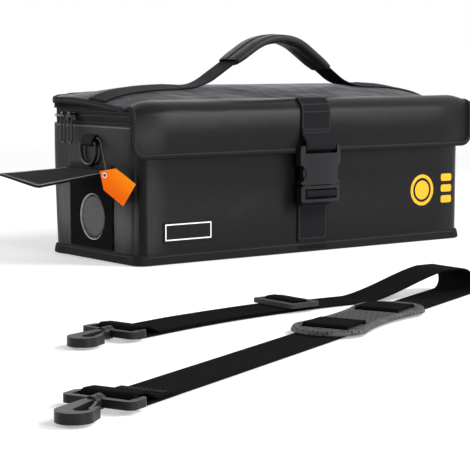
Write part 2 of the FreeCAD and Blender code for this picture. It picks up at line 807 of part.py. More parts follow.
def make_hooks():
    body = plate(hook_outline(), Z * hook_thick)
    body.translate(Z * (hook_z - hook_thick / 2))
    collar = rod(V(hook_length - 1.0, 0, hook_z), X, collar_radius, collar_length + 1.0)
    pin_end = hook_length + collar_length + clearance + frame_bar + clearance
    pin = rod(V(hook_length, 0, hook_z), X, pin_radius, pin_end - hook_length)
    head = rod(V(pin_end, 0, hook_z), X, pin_radius + 1.2, 1.5)
    hook = body.fuse([collar, pin, head]).removeSplitter()

    gate = plate([
        V(hook_length - 2, -3.3, 0), (V(29.0, -8.2, 0), V(19.8, -11.4, 0)), V(19.8, -13.2, 0),
        (V(29.6, -10.0, 0), V(hook_length - 2, -3.3 - gate_thick, 0)),
    ], Z * (hook_thick - 1.5))
    gate.translate(Z * (hook_z - (hook_thick - 1.5) / 2))

    bar = box(frame_start, frame_start + frame_bar, -frame_width / 2, frame_width / 2,
              hook_z - frame_thick / 2, hook_z + frame_thick / 2)
    barrel = rod(V(frame_start, 0, hook_z), X, barrel_radius, frame_bar)
    outline = rounded_box(frame_start, frame_start + frame_length, -frame_width / 2, frame_width / 2,
                          hook_z - frame_thick / 2, hook_z + frame_thick / 2, 5.0)
    inner = strap_width / 2 + 1.0
    hollow = box(frame_start + frame_bar, frame_start + frame_length + 1, -inner, inner, 0, 20)
    loop_bar = rod(V(frame_loop_at, -inner - 1, hook_z), Y, frame_loop_bar, 2 * inner + 2)
    frame = outline.cut(hollow).fuse([loop_bar, barrel, bar.common(outline)])
    frame = frame.cut(rod(V(frame_start - 1, 0, hook_z), X, pin_radius + pin_clearance, frame_bar + 2))
    frame = frame.removeSplitter()

    runs = (("a", short_run_start, short_run_turn), ("b", long_run_start, long_run()[0]))
    for letter, start, turn in runs:
        save("hook_" + letter, lay(hook, start, turn))
        save("hook_gate_" + letter, lay(gate, start, turn))
    save("hook_frames", *[lay(frame, start, turn) for _, start, turn in runs])


def hook_loop(tail):
    """The webbing's loop round a hook's bar, seen from the side: out along the floor, up round
    the bar, and back to lie on its own lower layer."""
    reach = frame_loop_at - strap_loop_radius
    high = strap_z + 2 * strap_loop_radius
    side = rounded_path(in_xz([
        (bow_start, strap_z), (reach, strap_z), (reach, high), (reach + 14, high - 1.0),
        (reach + 26, second_z), (bow_start + tail, second_z),
    ]), strap_loop_radius)
    return ribbon(side, strap_thick, Y * strap_width)


def bow_band(first, last, z0):
    """A flat layer of webbing that follows the short run's bow between two distances."""
    sweep = math.degrees((last - first) / short_run_bend)
    start_turn = bow_point(last)[1] + 90
    outer = Part.makeCylinder(short_run_bend + strap_width / 2, strap_thick, V(0, 0, 0), Z, sweep)
    inner = Part.makeCylinder(short_run_bend - strap_width / 2, strap_thick, V(0, 0, 0), Z, sweep)
    return lay(outer.cut(inner), bow_pivot() + Z * z0, start_turn)


def trim_at_fold(shape):
    """Cut a run's end along the fold's line."""
    middle, ahead, _ = fold_frame()
    beyond = box(0, 90, -90, 90, -5, 60)
    beyond.rotate(V(0, 0, 0), Z, math.degrees(math.atan2(ahead.y, ahead.x)))
    beyond.translate(middle)
    return shape.cut(beyond)


def make_strap_webbing():
    width = Y * strap_width
    glide_end = glide_at + glide_length / 2 - glide_rail
    bow_length = math.radians(short_run_bow) * short_run_bend
    upper_end = glide_at - 5.0
    adjuster = lay(hook_loop(0), short_run_start, short_run_turn)
    lower = bow_band(0, glide_end, 0)
    upper = bow_band(0, upper_end, second_z - strap_thick / 2)
    save("strap_webbing_adjuster", adjuster.fuse([lower, upper]).removeSplitter())

    end, end_turn = bow_point(bow_length)
    fold_top = strap_z + 2 * fold_radius
    straight = short_run_straight
    rise = rounded_path(in_xz([
        (0, strap_z), (18, strap_z), (straight * 0.6, fold_top - 3.0),
        (straight - 12, fold_top), (straight + 9, fold_top),
    ]), 100.0)
    rise = trim_at_fold(lay(ribbon(rise, strap_thick, width), end, end_turn))
    flat = bow_band(glide_end, bow_length, 0)
    save("strap_webbing_short_run", flat.fuse(rise).removeSplitter())

    turn, length = long_run()
    run = hook_loop(8.0)
    flat = box(bow_start, length + 9, -strap_width / 2, strap_width / 2, 0, strap_thick)
    run = trim_at_fold(lay(run.fuse(flat).removeSplitter(), long_run_start, turn))
    save("strap_webbing_long_run", run)

    middle, ahead, _ = fold_frame()
    outer = fold_radius + strap_thick / 2
    breadth = strap_width / math.cos((heading(end_turn)).getAngle(ahead))
    half_tube = tube(V(0, -breadth / 2, strap_z + fold_radius), Y, outer, outer - strap_thick, breadth)
    half_tube = half_tube.common(box(0, 40, -40, 40, -5, 60))
    save("strap_webbing_fold", lay(half_tube, middle, math.degrees(math.atan2(ahead.y, ahead.x))))


def make_glide():
    """The adjuster slide: a frame with a bar across its middle, and the webbing over the bar."""
    z0 = second_z + strap_thick / 2 + clearance
    half_length = glide_length / 2
    half_width = glide_width / 2
    frame = rounded_box(-half_length, half_length, -half_width, half_width, z0, z0 + glide_thick, 4.0)
    slot = strap_width / 2 + 0.7
    for side in (-1, 1):
        near = side * glide_bar / 2
        far = side * (half_length - glide_rail)
        frame = frame.cut(box(min(near, far), max(near, far), -slot, slot, z0 - 1, z0 + glide_thick + 1))
    place, turn = bow_point(glide_at)
    save("glide_frame", lay(frame, place, turn))

    over = z0 + glide_thick + clearance + strap_thick / 2
    hump = rounded_path(in_xz([
        (-7.6, z0 + 0.2), (-4.6, over), (4.6, over), (7.6, z0 + 0.2),
    ]), 2.0)
    save("glide_webbing", lay(ribbon(hump, strap_thick, Y * strap_width), place, turn))


def make_pad():
    """The shoulder pad: a waisted sheet that the webbing is woven through at four slots."""
    z0 = strap_thick + clearance
    half = pad_length / 2
    end_radius = pad_width / 2
    run = half - end_radius
    top = [V(run, end_radius, z0), (V(0, pad_waist / 2, z0), V(-run, end_radius, z0)),
           (V(-half, 0, z0), V(-run, -end_radius, z0)), (V(0, -pad_waist / 2, z0), V(run, -end_radius, z0)),
           (V(half, 0, z0), V(run, end_radius, z0))]
    pad = plate(top, Z * pad_thick)
    reach = strap_width / 2 + 0.7
    over = z0 + pad_thick + clearance + strap_thick / 2
    turn = long_run()[0]
    place = long_run_start + heading(turn) * pad_at
    windows = []
    for side in (-1, 1):
        middle = side * pad_window_at
        for edge in (-1, 1):
            x = middle + edge * (pad_window / 2 + pad_slot / 2)
            pad = pad.cut(box(x - pad_slot / 2, x + pad_slot / 2, -reach, reach, z0 - 1, z0 + 9))
        foot = pad_window / 2 + pad_slot / 2
        hump = rounded_path(in_xz([
            (middle - foot, z0 + 0.2), (middle - foot, over), (middle + foot, over),
            (middle + foot, z0 + 0.2),
        ]), 1.6)
        windows.append(lay(ribbon(hump, strap_thick, Y * strap_width), place, turn))
    save("shoulder_pad", lay(pad, place, turn))
    save("pad_webbing", *windows)


def main():
    os.makedirs("parts", exist_ok=True)
    make_walls()
    teeth_out, teeth_in = make_zip()
    make_slider("zip_slider_front", front_slider_y, 1, teeth_out, teeth_in)
    make_slider("zip_slider_back", back_slider_y, -1, teeth_out, teeth_in)
    make_pull("zip_pull_front", front_slider_y, teeth_out)
    make_pull("zip_pull_back", back_slider_y, teeth_out)
    make_lid()
    make_handle()
    make_flap()
    make_front_webbing()
    make_socket()
    make_plug()
    make_rings()
    make_port()
    make_label()
    make_tag()
    make_hooks()
    make_strap_webbing()
    make_glide()
    make_pad()


main()
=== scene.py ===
import math

import bpy
from mathutils import Matrix, Vector, noise


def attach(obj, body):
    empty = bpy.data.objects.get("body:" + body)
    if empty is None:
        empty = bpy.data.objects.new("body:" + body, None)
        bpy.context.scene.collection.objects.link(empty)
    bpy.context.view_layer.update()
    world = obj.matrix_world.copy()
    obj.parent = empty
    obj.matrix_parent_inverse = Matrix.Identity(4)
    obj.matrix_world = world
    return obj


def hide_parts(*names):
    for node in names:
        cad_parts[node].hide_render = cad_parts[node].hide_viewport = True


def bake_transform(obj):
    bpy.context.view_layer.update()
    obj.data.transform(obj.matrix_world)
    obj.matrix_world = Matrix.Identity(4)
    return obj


# The looks of a fire-resistant battery bag. Lengths are millimetres up to the point where a
# mesh is made; the frame is the CAD's: the front faces -Y, the underside lies on the floor.

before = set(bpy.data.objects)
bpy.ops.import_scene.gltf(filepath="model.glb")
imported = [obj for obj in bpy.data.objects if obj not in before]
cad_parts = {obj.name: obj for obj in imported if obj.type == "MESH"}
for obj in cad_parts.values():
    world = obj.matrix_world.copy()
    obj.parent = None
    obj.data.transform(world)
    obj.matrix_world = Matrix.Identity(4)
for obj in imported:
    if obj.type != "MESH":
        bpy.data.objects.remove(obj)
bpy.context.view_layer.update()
MM = 0.001
X = Vector((1, 0, 0))
Y = Vector((0, 1, 0))
Z = Vector((0, 0, 1))

# ---- sizes that the CAD uses -------------------------------------------------------------
HALF_LENGTH = 215.0
HALF_DEPTH = 75.0
CORNER = 12.0
FRONT = -HALF_DEPTH
WALL_TOP = 134.0
LID_BOTTOM = 149.0
HANDLE_TOP = 220.0
ZIP_MIDDLE = 141.5
ROLL_Y = -65.5
ROLL_Z = 144.0
ROLL = 14.0
NOSE = 12.7
FLAP_Y = -79.5
FLAP_BOTTOM = 103.0
FLAP_HALF = 226.5
FLAP_CORNER = 14.0
PORT_Y = 6.0
PORT_Z = 42.5
PORT_RADIUS = 23.0
HANDLE_X = 5.0
FOOT = 129.0
END_Y = 8.5

# ---- sizes of the cloth and webbing ------------------------------------------------------
WEBBING = 1.5
HANDLE_WIDTH = 29.6
BUCKLE_WIDTH = 39.4
STRAP_WIDTH = 37.6
BUCKLE_SEAM = 17.5
CORD_PITCH = 2.1
BEAD_PITCH = 1.9
UV_UNIT = 100.0


# ---- camera ------------------------------------------------------------------------------
def add_camera():
    camera = bpy.data.objects.new("camera", bpy.data.cameras.new("camera"))
    bpy.context.scene.collection.objects.link(camera)
    camera.data.sensor_width = 36.0
    camera.data.lens = 122.58
    camera.data.clip_end = 60.0
    camera.location = Vector((-1059.9, -1343.6, 197.6)) * MM
    camera.rotation_euler = (math.radians(90 - 6.249), 0, math.radians(-37.13))
    bpy.context.scene.camera = camera


# ---- materials ---------------------------------------------------------------------------
class Nodes:
    """A few shorthands for a material's node tree."""

    def __init__(self, name, colour, roughness, specular=0.3, metallic=0.0):
        self.material = bpy.data.materials.new(name)
        self.material.use_nodes = True
        self.tree = self.material.node_tree
        self.shader = self.tree.nodes["Principled BSDF"]
        self.shader.inputs["Base Color"].default_value = (*colour, 1)
        self.shader.inputs["Roughness"].default_value = roughness
        self.shader.inputs["Specular IOR Level"].default_value = specular
        self.shader.inputs["Metallic"].default_value = metallic
        self.height = None

    def link(self, source, target):
        self.tree.links.new(source, target)

    def put(self, node, slot, value):
        if isinstance(value, (int, float)):
            node.inputs[slot].default_value = value
        elif value is not None:
            self.link(value, node.inputs[slot])

    def math(self, operation, a, b=None, c=None):
        node = self.tree.nodes.new("ShaderNodeMath")
        node.operation = operation
        for slot, value in enumerate((a, b, c)):
            self.put(node, slot, value)
        return node.outputs[0]

    def times(self, a, b):
        return self.math("MULTIPLY", a, b)

    def plus(self, a, b):
        return self.math("ADD", a, b)

    def minus(self, a, b):
        return self.math("SUBTRACT", a, b)

    def scaled(self, value, factor, offset):
        return self.math("MULTIPLY_ADD", value, factor, offset)

    def size_of(self, value):
        return self.math("ABSOLUTE", value)

    def square_beyond(self, value, start):
        """The square of what a value is past a start."""
        past = self.math("MAXIMUM", self.minus(value, start), 0.0)
        return self.times(past, past)

    def place(self, kind):
        """The piece's own UV layout, or its place in the frame, and what turns it to millimetres."""
        node = self.tree.nodes.new("ShaderNodeTexCoord")
        if kind == "uv":
            return node.outputs["UV"], UV_UNIT
        return node.outputs["Object"], 1000.0

    def coordinates(self, kind):
        """Three outputs in millimetres."""
        source, unit = self.place(kind)
        split = self.tree.nodes.new("ShaderNodeSeparateXYZ")
        scale = self.tree.nodes.new("ShaderNodeVectorMath")
        scale.operation = "SCALE"
        self.link(source, scale.inputs[0])
        scale.inputs["Scale"].default_value = unit
        self.link(scale.outputs[0], split.inputs[0])
        return split.outputs[0], split.outputs[1], split.outputs[2]

    def noise(self, size, detail=3.0, kind="object", rough=0.55, stretch=(1, 1, 1)):
        """Noise from 0 to 1 whose grain is about size millimetres."""
        source, unit = self.place(kind)
        scale = self.tree.nodes.new("ShaderNodeMapping")
        scale.inputs["Scale"].default_value = [unit / size * s for s in stretch]
        self.link(source, scale.inputs["Vector"])
        texture = self.tree.nodes.new("ShaderNodeTexNoise")
        texture.inputs["Scale"].default_value = 1.0
        texture.inputs["Detail"].default_value = detail
        texture.inputs["Roughness"].default_value = rough
        self.link(scale.outputs[0], texture.inputs["Vector"])
        return texture.outputs["Fac"]

    def wave(self, value, period, phase=0.0):
        """A cosine from 0 to 1 with a period in millimetres."""
        turned = self.math("MULTIPLY_ADD", value, 2 * math.pi / period, phase)
        return self.math("MULTIPLY_ADD", self.math("COSINE", turned), 0.5, 0.5)

    def staggered(self, value, period, odd):
        """A wave that is half a period later wherever odd is nought."""
        return self.plus(self.times(self.wave(value, period), odd),
                         self.times(self.wave(value, period, math.pi), self.minus(1.0, odd)))

    def ramp(self, value, low, high, to_low=0.0, to_high=1.0):
        node = self.tree.nodes.new("ShaderNodeMapRange")
        self.put(node, 0, value)
        for slot, number in enumerate((low, high, to_low, to_high)):
            node.inputs[slot + 1].default_value = number
        node.interpolation_type = "SMOOTHSTEP"
        return node.outputs[0]

    def mix(self, share, first, second):
        node = self.tree.nodes.new("ShaderNodeMix")
        node.data_type = "RGBA"
        self.put(node, 0, share)
        for slot, colour in ((6, first), (7, second)):
            if isinstance(colour, tuple):
                node.inputs[slot].default_value = (*colour, 1)
            else:
                self.link(colour, node.inputs[slot])
        return node.outputs[2]

    def colour(self, output):
        self.link(output, self.shader.inputs["Base Color"])

    def roughness(self, output):
        self.link(output, self.shader.inputs["Roughness"])

    def sheen(self, weight, roughness, tint):
        self.shader.inputs["Sheen Weight"].default_value = weight
        self.shader.inputs["Sheen Roughness"].default_value = roughness
        self.shader.inputs["Sheen Tint"].default_value = (*tint, 1)

    def bump(self, height, depth, strength=1.0):
        """Relief of a given depth in millimetres, on top of any put on before."""
        node = self.tree.nodes.new("ShaderNodeBump")
        node.inputs["Distance"].default_value = depth * MM
        node.inputs["Strength"].default_value = strength
        self.link(height, node.inputs["Height"])
        if self.height is not None:
            self.link(self.height, node.inputs["Normal"])
        self.height = node.outputs[0]
        self.link(self.height, self.shader.inputs["Normal"])


def shade(colour, factor):
    return tuple(c * factor for c in colour)


def bag_cloth(name="bag_cloth", rolled=False):
    """Black coated glass cloth: a fine basket weave with raised vertical cords and a soft sheen.
    Its relief also softens the box's front corners, or the start of the flap's roll."""
    n = Nodes(name, (0.004, 0.004, 0.005), 0.24, 0.12)
    u, v, _ = n.coordinates("uv")
    x, y, z = n.coordinates("object")
    n.bump(n.times(n.square_beyond(n.size_of(x), 178.0), -0.0052), 1.0)
    if rolled:
        n.bump(n.times(n.square_beyond(z, 114.0), -0.0055), 1.0)
    else:
        on_end = n.ramp(n.size_of(x), 212.0, 214.8, 0.0, -0.0062)
        n.bump(n.times(n.square_beyond(-48.0, y), on_end), 1.0)
        n.bump(n.ramp(z, 4.0, 92.0, 1.0, 0.0), 13.0)
    weave = n.staggered(v, BEAD_PITCH, n.ramp(n.wave(u, 2 * CORD_PITCH), 0.35, 0.65))
    height = n.plus(n.times(n.wave(u, CORD_PITCH), 0.6), n.times(weave, 0.4))
    n.bump(n.noise(45.0, 2.0, "uv"), 1.3, 0.5)
    n.bump(height, 0.14)
    n.bump(n.noise(0.9, 3.0, "uv"), 0.05)
    n.colour(n.mix(n.ramp(height, 0.45, 0.85), (0.0003, 0.0003, 0.0004), (0.014, 0.014, 0.0165)))
    worn = n.scaled(n.noise(20.0, 4.0, "uv"), 0.12, 0.10)
    n.roughness(n.plus(worn, n.ramp(height, 0.35, 0.8, 0.25, 0.0)))
    return n.material


def lid_cloth():
    """The same cloth where it lies on the lid: smoother, as the pile of its weave is pressed flat."""
    n = Nodes("lid_cloth", (0.008, 0.008, 0.010), 0.6, 0.0)
    u, v, _ = n.coordinates("uv")
    height = n.plus(n.times(n.wave(u, CORD_PITCH), 0.6), n.times(n.wave(v, BEAD_PITCH), 0.4))
    n.bump(n.noise(45.0, 2.0, "uv"), 4.0, 0.8)
    n.bump(height, 0.08)
    n.colour(n.mix(height, (0.005, 0.005, 0.006), (0.012, 0.012, 0.014)))
    n.roughness(n.scaled(n.noise(25.0, 4.0, "uv"), 0.12, 0.62))
    n.sheen(0.9, 0.3, (0.42, 0.42, 0.45))
    return n.material


def tape_cloth(name, colour, rib):
    """Binding or zip tape: fine cross ribs and a herringbone along its length."""
    n = Nodes(name, colour, 0.62, 0.05)
    u, v, _ = n.coordinates("uv")
    slant = n.wave(n.plus(u, n.math("PINGPONG", v, 2.4)), rib)
    grain = n.noise(0.7, 2.0, "uv")
    height = n.scaled(slant, 0.7, n.times(grain, 0.3))
    n.bump(n.noise(9.0, 2.0, "uv"), 0.5, 0.4)
    n.bump(height, 0.12)
    n.colour(n.mix(height, shade(colour, 0.6), shade(colour, 1.5)))
    return n.material


def webbing_cloth(name, colour, rib=1.35, column=2.6, relief=0.32, roughness=0.66, specular=0.05):
    """Woven nylon webbing: ribs across it, each broken into cords that run along it."""
    n = Nodes(name, colour, roughness, specular)
    u, v, _ = n.coordinates("uv")
    weave = n.staggered(v, rib, n.ramp(n.wave(u, column * 2), 0.4, 0.6))
    grain = n.noise(0.5, 2.0, "uv")
    height = n.plus(n.times(weave, 0.55), n.scaled(n.wave(u, column), 0.3, n.times(grain, 0.15)))
    n.bump(n.noise(14.0, 2.0, "uv"), 0.5, 0.35)
    n.bump(height, relief)
    light = shade(colour, 2.0)
    worn = n.ramp(n.noise(30.0, 4.0, "uv"), 0.45, 0.75)
    n.colour(n.mix(n.times(worn, 0.35), n.mix(height, shade(colour, 0.4), light), light))
    return n.material


def moulded(name, colour, roughness, specular=0.25):
    """Moulded plastic: a fine satin grain, slight flow marks and softly worn gloss."""
    n = Nodes(name, colour, roughness, specular)
    n.bump(n.noise(0.35, 2.0), 0.03)
    n.bump(n.noise(12.0, 2.0), 0.12, 0.4)
    wear = n.noise(6.0, 5.0)
    n.roughness(n.scaled(wear, 0.18, roughness - 0.09))
    n.colour(n.mix(n.ramp(wear, 0.45, 0.8), colour, shade(colour, 1.35)))
    return n.material


def metal(name, colour, roughness):
    """Plated or painted metal with faint scratches along it."""
    n = Nodes(name, colour, roughness, 0.5, 1.0)
    n.bump(n.noise(0.4, 3.0, stretch=(1, 1, 0.06)), 0.01)
    n.roughness(n.scaled(n.noise(3.0, 4.0), 0.22, roughness - 0.08))
    n.colour(n.mix(n.ramp(n.noise(5.0, 4.0), 0.4, 0.7), colour, shade(colour, 0.7)))
    return n.material


def pile(name, colour, size, depth):
    """The fuzzy face of a touch fastener."""
    n = Nodes(name, colour, 0.9, 0.02)
    fuzz = n.noise(size, 6.0, rough=0.75)
    n.bump(n.noise(size * 4, 3.0), depth)
    n.bump(fuzz, depth)
    n.colour(n.mix(n.ramp(fuzz, 0.4, 0.72), shade(colour, 0.35), shade(colour, 2.2)))
    n.sheen(0.04, 0.4, (0.8, 0.8, 0.9))
    return n.material


def foam():
    """Closed-cell foam board: pale, with pin-sized cells."""
    n = Nodes("foam_board", (0.62, 0.62, 0.60), 0.8, 0.2)
    cells = n.noise(0.8, 3.0)
    n.bump(cells, 0.08)
    n.colour(n.mix(n.ramp(cells, 0.35, 0.65), (0.55, 0.55, 0.53), (0.70, 0.70, 0.68)))
    return n.material


def lining_cloth():
    """Silver-grey woven glass lining."""
    n = Nodes("lining_cloth", (0.16, 0.165, 0.17), 0.45, 0.4)
    u, v, _ = n.coordinates("uv")
    height = n.times(n.wave(u, 1.4), n.wave(v, 1.4))
    n.bump(n.noise(40.0, 2.0, "uv"), 1.6, 0.5)
    n.bump(height, 0.12)
    n.colour(n.mix(height, (0.11, 0.115, 0.12), (0.24, 0.245, 0.25)))
    n.roughness(n.scaled(n.noise(12.0, 4.0, "uv"), 0.2, 0.35))
    return n.material


def curtain_cloth():
    """The plain dark cloth that hangs behind the port."""
    n = Nodes("curtain_cloth", (0.030, 0.030, 0.033), 0.6, 0.3)
    u, v, _ = n.coordinates("uv")
    height = n.times(n.wave(u, 1.1), n.wave(v, 1.1))
    n.bump(height, 0.06)
    n.bump(n.noise(25.0, 2.0, "uv"), 0.8, 0.5)
    n.colour(n.mix(height, (0.048, 0.048, 0.053), (0.066, 0.066, 0.072)))
    return n.material


def label_rubber():
    """Black rubber with a thin pale line printed inside its edge, and nothing within it."""
    n = Nodes("label_rubber", (0.006, 0.006, 0.007), 0.5, 0.12)
    x, _, z = n.coordinates("object")
    across = n.size_of(n.plus(x, 157.0))
    up = n.size_of(n.minus(z, 31.0))
    inset = n.math("MINIMUM", n.minus(30.0, across), n.minus(10.5, up))
    line = n.times(n.ramp(inset, 2.3, 2.5), n.ramp(inset, 3.5, 3.7, 1.0, 0.0))
    n.bump(n.scaled(n.noise(0.5, 2.0), 0.2, line), 0.12)
    worn = n.ramp(n.noise(2.0, 3.0), 0.25, 0.5, 0.75, 1.0)
    n.colour(n.mix(n.times(line, worn), (0.005, 0.005, 0.006), (0.85, 0.85, 0.85)))
    return n.material


def printed(name, colour):
    """Ink printed on cloth: the weave shows through, and its edges are a little worn."""
    n = Nodes(name, colour, 0.55, 0.3)
    u, v, _ = n.coordinates("uv")
    height = n.scaled(n.wave(u, CORD_PITCH), 0.6, n.times(n.wave(v, BEAD_PITCH), 0.4))
    n.bump(height, 0.08)
    worn = n.ramp(n.noise(1.1, 4.0, "uv"), 0.28, 0.45)
    n.colour(n.mix(n.times(worn, n.scaled(height, 0.25, 0.75)), shade(colour, 0.72), colour))
    return n.material


def card():
    """Orange card, smoothly coated, with a faint fibre, and painted shade that makes it darker and redder
    towards its bottom and back.
    """
    n = Nodes("tag_orange", (1.0, 0.215, 0.002), 0.5, 0.08)
    _, y, z = n.coordinates("object")
    # painted shade: the orange turns darker and redder towards the card's bottom and back
    painted_shade_down = n.ramp(n.plus(y, n.times(z, -1.0)), -160.0, -128.0)
    fibre = n.noise(0.6, 4.0, stretch=(1, 1, 3))
    n.bump(fibre, 0.02)
    n.colour(n.mix(painted_shade_down, (1.0, 0.27, 0.001), (1.0, 0.16, 0.0005)))
    n.roughness(n.scaled(fibre, 0.2, 0.4))
    return n.material


def twine():
    """The tag's undyed string."""
    n = Nodes("tag_string", (0.13, 0.14, 0.10), 0.7, 0.1)
    n.bump(n.noise(0.5, 3.0), 0.15)
    n.colour(n.mix(n.noise(1.0, 3.0), (0.10, 0.11, 0.07), (0.20, 0.21, 0.16)))
    return n.material


def thread(name, colour):
    """Sewing thread."""
    n = Nodes(name, colour, 0.55, 0.3)
    n.colour(n.mix(n.noise(0.6, 2.0), colour, shade(colour, 1.6)))
    n.bump(n.noise(0.3, 2.0), 0.05)
    return n.material


def pad_rubber():
    """The pad's moulded rubber: satin grey with a close grid of small dimples, whose hollows are painted near
    black as painted shade.
    """
    n = Nodes("pad_rubber", (0.06, 0.06, 0.064), 0.55, 0.15)
    x, y, _ = n.coordinates("object")
    across = n.scaled(x, 0.89, n.times(y, -0.46))
    along = n.scaled(x, 0.46, n.times(y, 0.89))
    dimple = n.ramp(n.times(n.wave(across, 3.0), n.wave(along, 3.0)), 0.35, 0.6)
    n.bump(n.noise(0.4, 2.0), 0.04)
    n.bump(dimple, -0.35)
    wear = n.noise(9.0, 4.0)
    rubber = n.mix(n.ramp(wear, 0.4, 0.75), (0.055, 0.055, 0.058), (0.085, 0.085, 0.09))
    # painted shade: the dimples' hollows are painted near black
    n.colour(n.mix(dimple, rubber, (0.012, 0.012, 0.013)))
    n.roughness(n.scaled(wear, 0.2, 0.42))
    return n.material


def grip_cloth():
    """The grip's smooth wrap: coated cloth with a soft leather-like grain."""
    n = Nodes("grip_wrap", (0.016, 0.016, 0.018), 0.5, 0.14)
    grain = n.noise(1.6, 4.0, "uv")
    n.bump(n.noise(16.0, 3.0, "uv"), 1.0, 0.5)
    n.bump(grain, 0.1)
    n.colour(n.mix(grain, (0.011, 0.011, 0.013), (0.024, 0.024, 0.027)))
    n.roughness(n.scaled(n.noise(12.0, 4.0, "uv"), 0.2, 0.36))
    return n.material


# ---- mesh helpers ------------------------------------------------------------------------
def link_mesh(name, points, faces, material, uvs=None):
    """A piece from points in millimetres. The UVs are millimetres too, one pair for each corner
    of each face, and are stored in steps of 100 mm, which Nodes.coordinates turns back."""
    mesh = bpy.data.meshes.new(name)
    mesh.from_pydata([Vector(p) * MM for p in points], [], faces)
    if uvs is not None:
        layer = mesh.uv_layers.new(name="UVMap")
        layer.data.foreach_set("uv", [value / UV_UNIT for face in uvs for pair in face for value in pair])
    mesh.materials.append(material)
    mesh.polygons.foreach_set("use_smooth", [True] * len(mesh.polygons))
    mesh.update()
    piece = bpy.data.objects.new(name, mesh)
    bpy.context.scene.collection.objects.link(piece)
    return piece


def even(low, high, count):
    """Values from low to high in a number of equal steps."""
    return [low + (high - low) * k / count for k in range(count + 1)]


def running(points):
    """The distance along a line at each of its points."""
    total = [0.0]
    for a, b in zip(points, points[1:]):
        total.append(total[-1] + (Vector(b) - Vector(a)).length)
    return total


def grid_piece(name, rows, material, closed=False, cap=False, across=None, along=None, flip=False):
    """A surface through rows of points. closed joins each row's ends, cap fills the last row."""
    count = len(rows[0])
    if across is None:
        widest = max(rows, key=lambda row: running(row)[-1])
        across = running(list(widest) + ([widest[0]] if closed else []))
    if along is None:
        along = running([row[count // 2] for row in rows])
    points = [p for row in rows for p in row]
    faces, uvs = [], []
    for r in range(len(rows) - 1):
        for c in range(count if closed else count - 1):
            d = (c + 1) % count
            face = [r * count + c, r * count + d, (r + 1) * count + d, (r + 1) * count + c]
            place = [(across[c], along[r]), (across[c + 1], along[r]),
                     (across[c + 1], along[r + 1]), (across[c], along[r + 1])]
            faces.append(face[::-1] if flip else face)
            uvs.append(place[::-1] if flip else place)
    if cap:
        face = [(len(rows) - 1) * count + c for c in range(count)]
        place = [(rows[-1][c][0], rows[-1][c][1]) for c in range(count)]
        faces.append(face[::-1] if flip else face)
        uvs.append(place[::-1] if flip else place)
    return link_mesh(name, points, faces, material, uvs)


def thicken(piece, thickness, offset=-1.0):
    """Thickness in millimetres for a surface: offset -1 puts it behind the faces, 0 on both sides."""
    modifier = piece.modifiers.new("thickness", "SOLIDIFY")
    modifier.thickness = thickness * MM
    modifier.offset = offset
    return piece


def rim_of_grid(rows, columns):
    """Indices of a grid's outermost points, once round it."""
    rim = list(range(columns))
    rim += [r * columns + columns - 1 for r in range(1, rows)]
    rim += [(rows - 1) * columns + c for c in range(columns - 2, -1, -1)]
    return rim + [r * columns for r in range(rows - 2, 0, -1)]


def circle(centre, first, second, radius, count, start=0.0):
    """Points round a centre, in the plane of two directions."""
    angles = [start + 2 * math.pi * k / count for k in range(count)]
    return [centre + (first * math.cos(a) + second * math.sin(a)) * radius for a in angles]


def tube_faces(base, rings, count):
    """Faces between rings of points that follow each other from a first index."""
    faces = []
    for r in range(rings - 1):
        for k in range(count):
            a = base + r * count + k
            b = base + r * count + (k + 1) % count
            faces.append([a, b, b + count, a + count])
    return faces


def bake(piece):
    """The piece's mesh as its modifiers show it."""
    graph = bpy.context.evaluated_depsgraph_get()
    mesh = bpy.data.meshes.new_from_object(piece.evaluated_get(graph))
    piece.modifiers.clear()
    piece.data = mesh
    return piece


def bore(piece, radius):
    """Cuts the round cable port through a piece."""
    bpy.ops.mesh.primitive_cylinder_add(vertices=96, radius=radius * MM, depth=0.04)
    cutter = bpy.context.object
    cutter.matrix_world = Matrix.Translation(Vector((-HALF_LENGTH, PORT_Y, PORT_Z)) * MM) @ \
        Matrix.Rotation(math.pi / 2, 4, "Y")
    bpy.context.view_layer.update()
    modifier = piece.modifiers.new("port", "BOOLEAN")
    modifier.object = cutter
    modifier.solver = "EXACT"
    bake(piece)
    bpy.data.objects.remove(cutter)
    return piece


def arc_run(corners, radii, step):
    """Points along straight runs joined by tangent arcs; step is the turn between points."""
    line = [corners[0]]
    for before, corner, after, radius in zip(corners, corners[1:], corners[2:], radii):
        a = before - corner
        b = after - corner
        reach_a, reach_b = a.length, b.length
        a.normalize()
        b.normalize()
        half_turn = (math.pi - a.angle(b)) / 2
        reach = min(radius * math.tan(half_turn), 0.49 * reach_a, 0.49 * reach_b)
        bend = reach / math.tan(half_turn)
        centre = corner + (a + b).normalized() * (bend / math.cos(half_turn))
        start = corner + a * reach - centre
        end = corner + b * reach - centre
        count = max(2, math.ceil(2 * half_turn / step))
        line += [centre + start.slerp(end, k / count) * bend for k in range(count + 1)]
    line.append(corners[-1])
    return line


def divide(line, longest):
    """The same line with no stretch longer than a given length."""
    out = [line[0]]
    for a, b in zip(line, line[1:]):
        count = max(1, math.ceil((b - a).length / longest))
        out += [a.lerp(b, (k + 1) / count) for k in range(count)]
    return [p for k, p in enumerate(out) if k == 0 or (p - out[k - 1]).length > 1e-4]


def directions(line):
    """The unit direction of a line at each of its points."""
    result = []
    for k in range(len(line)):
        before = line[max(0, k - 1)]
        after = line[min(len(line) - 1, k + 1)]
        result.append((after - before).normalized())
    return result


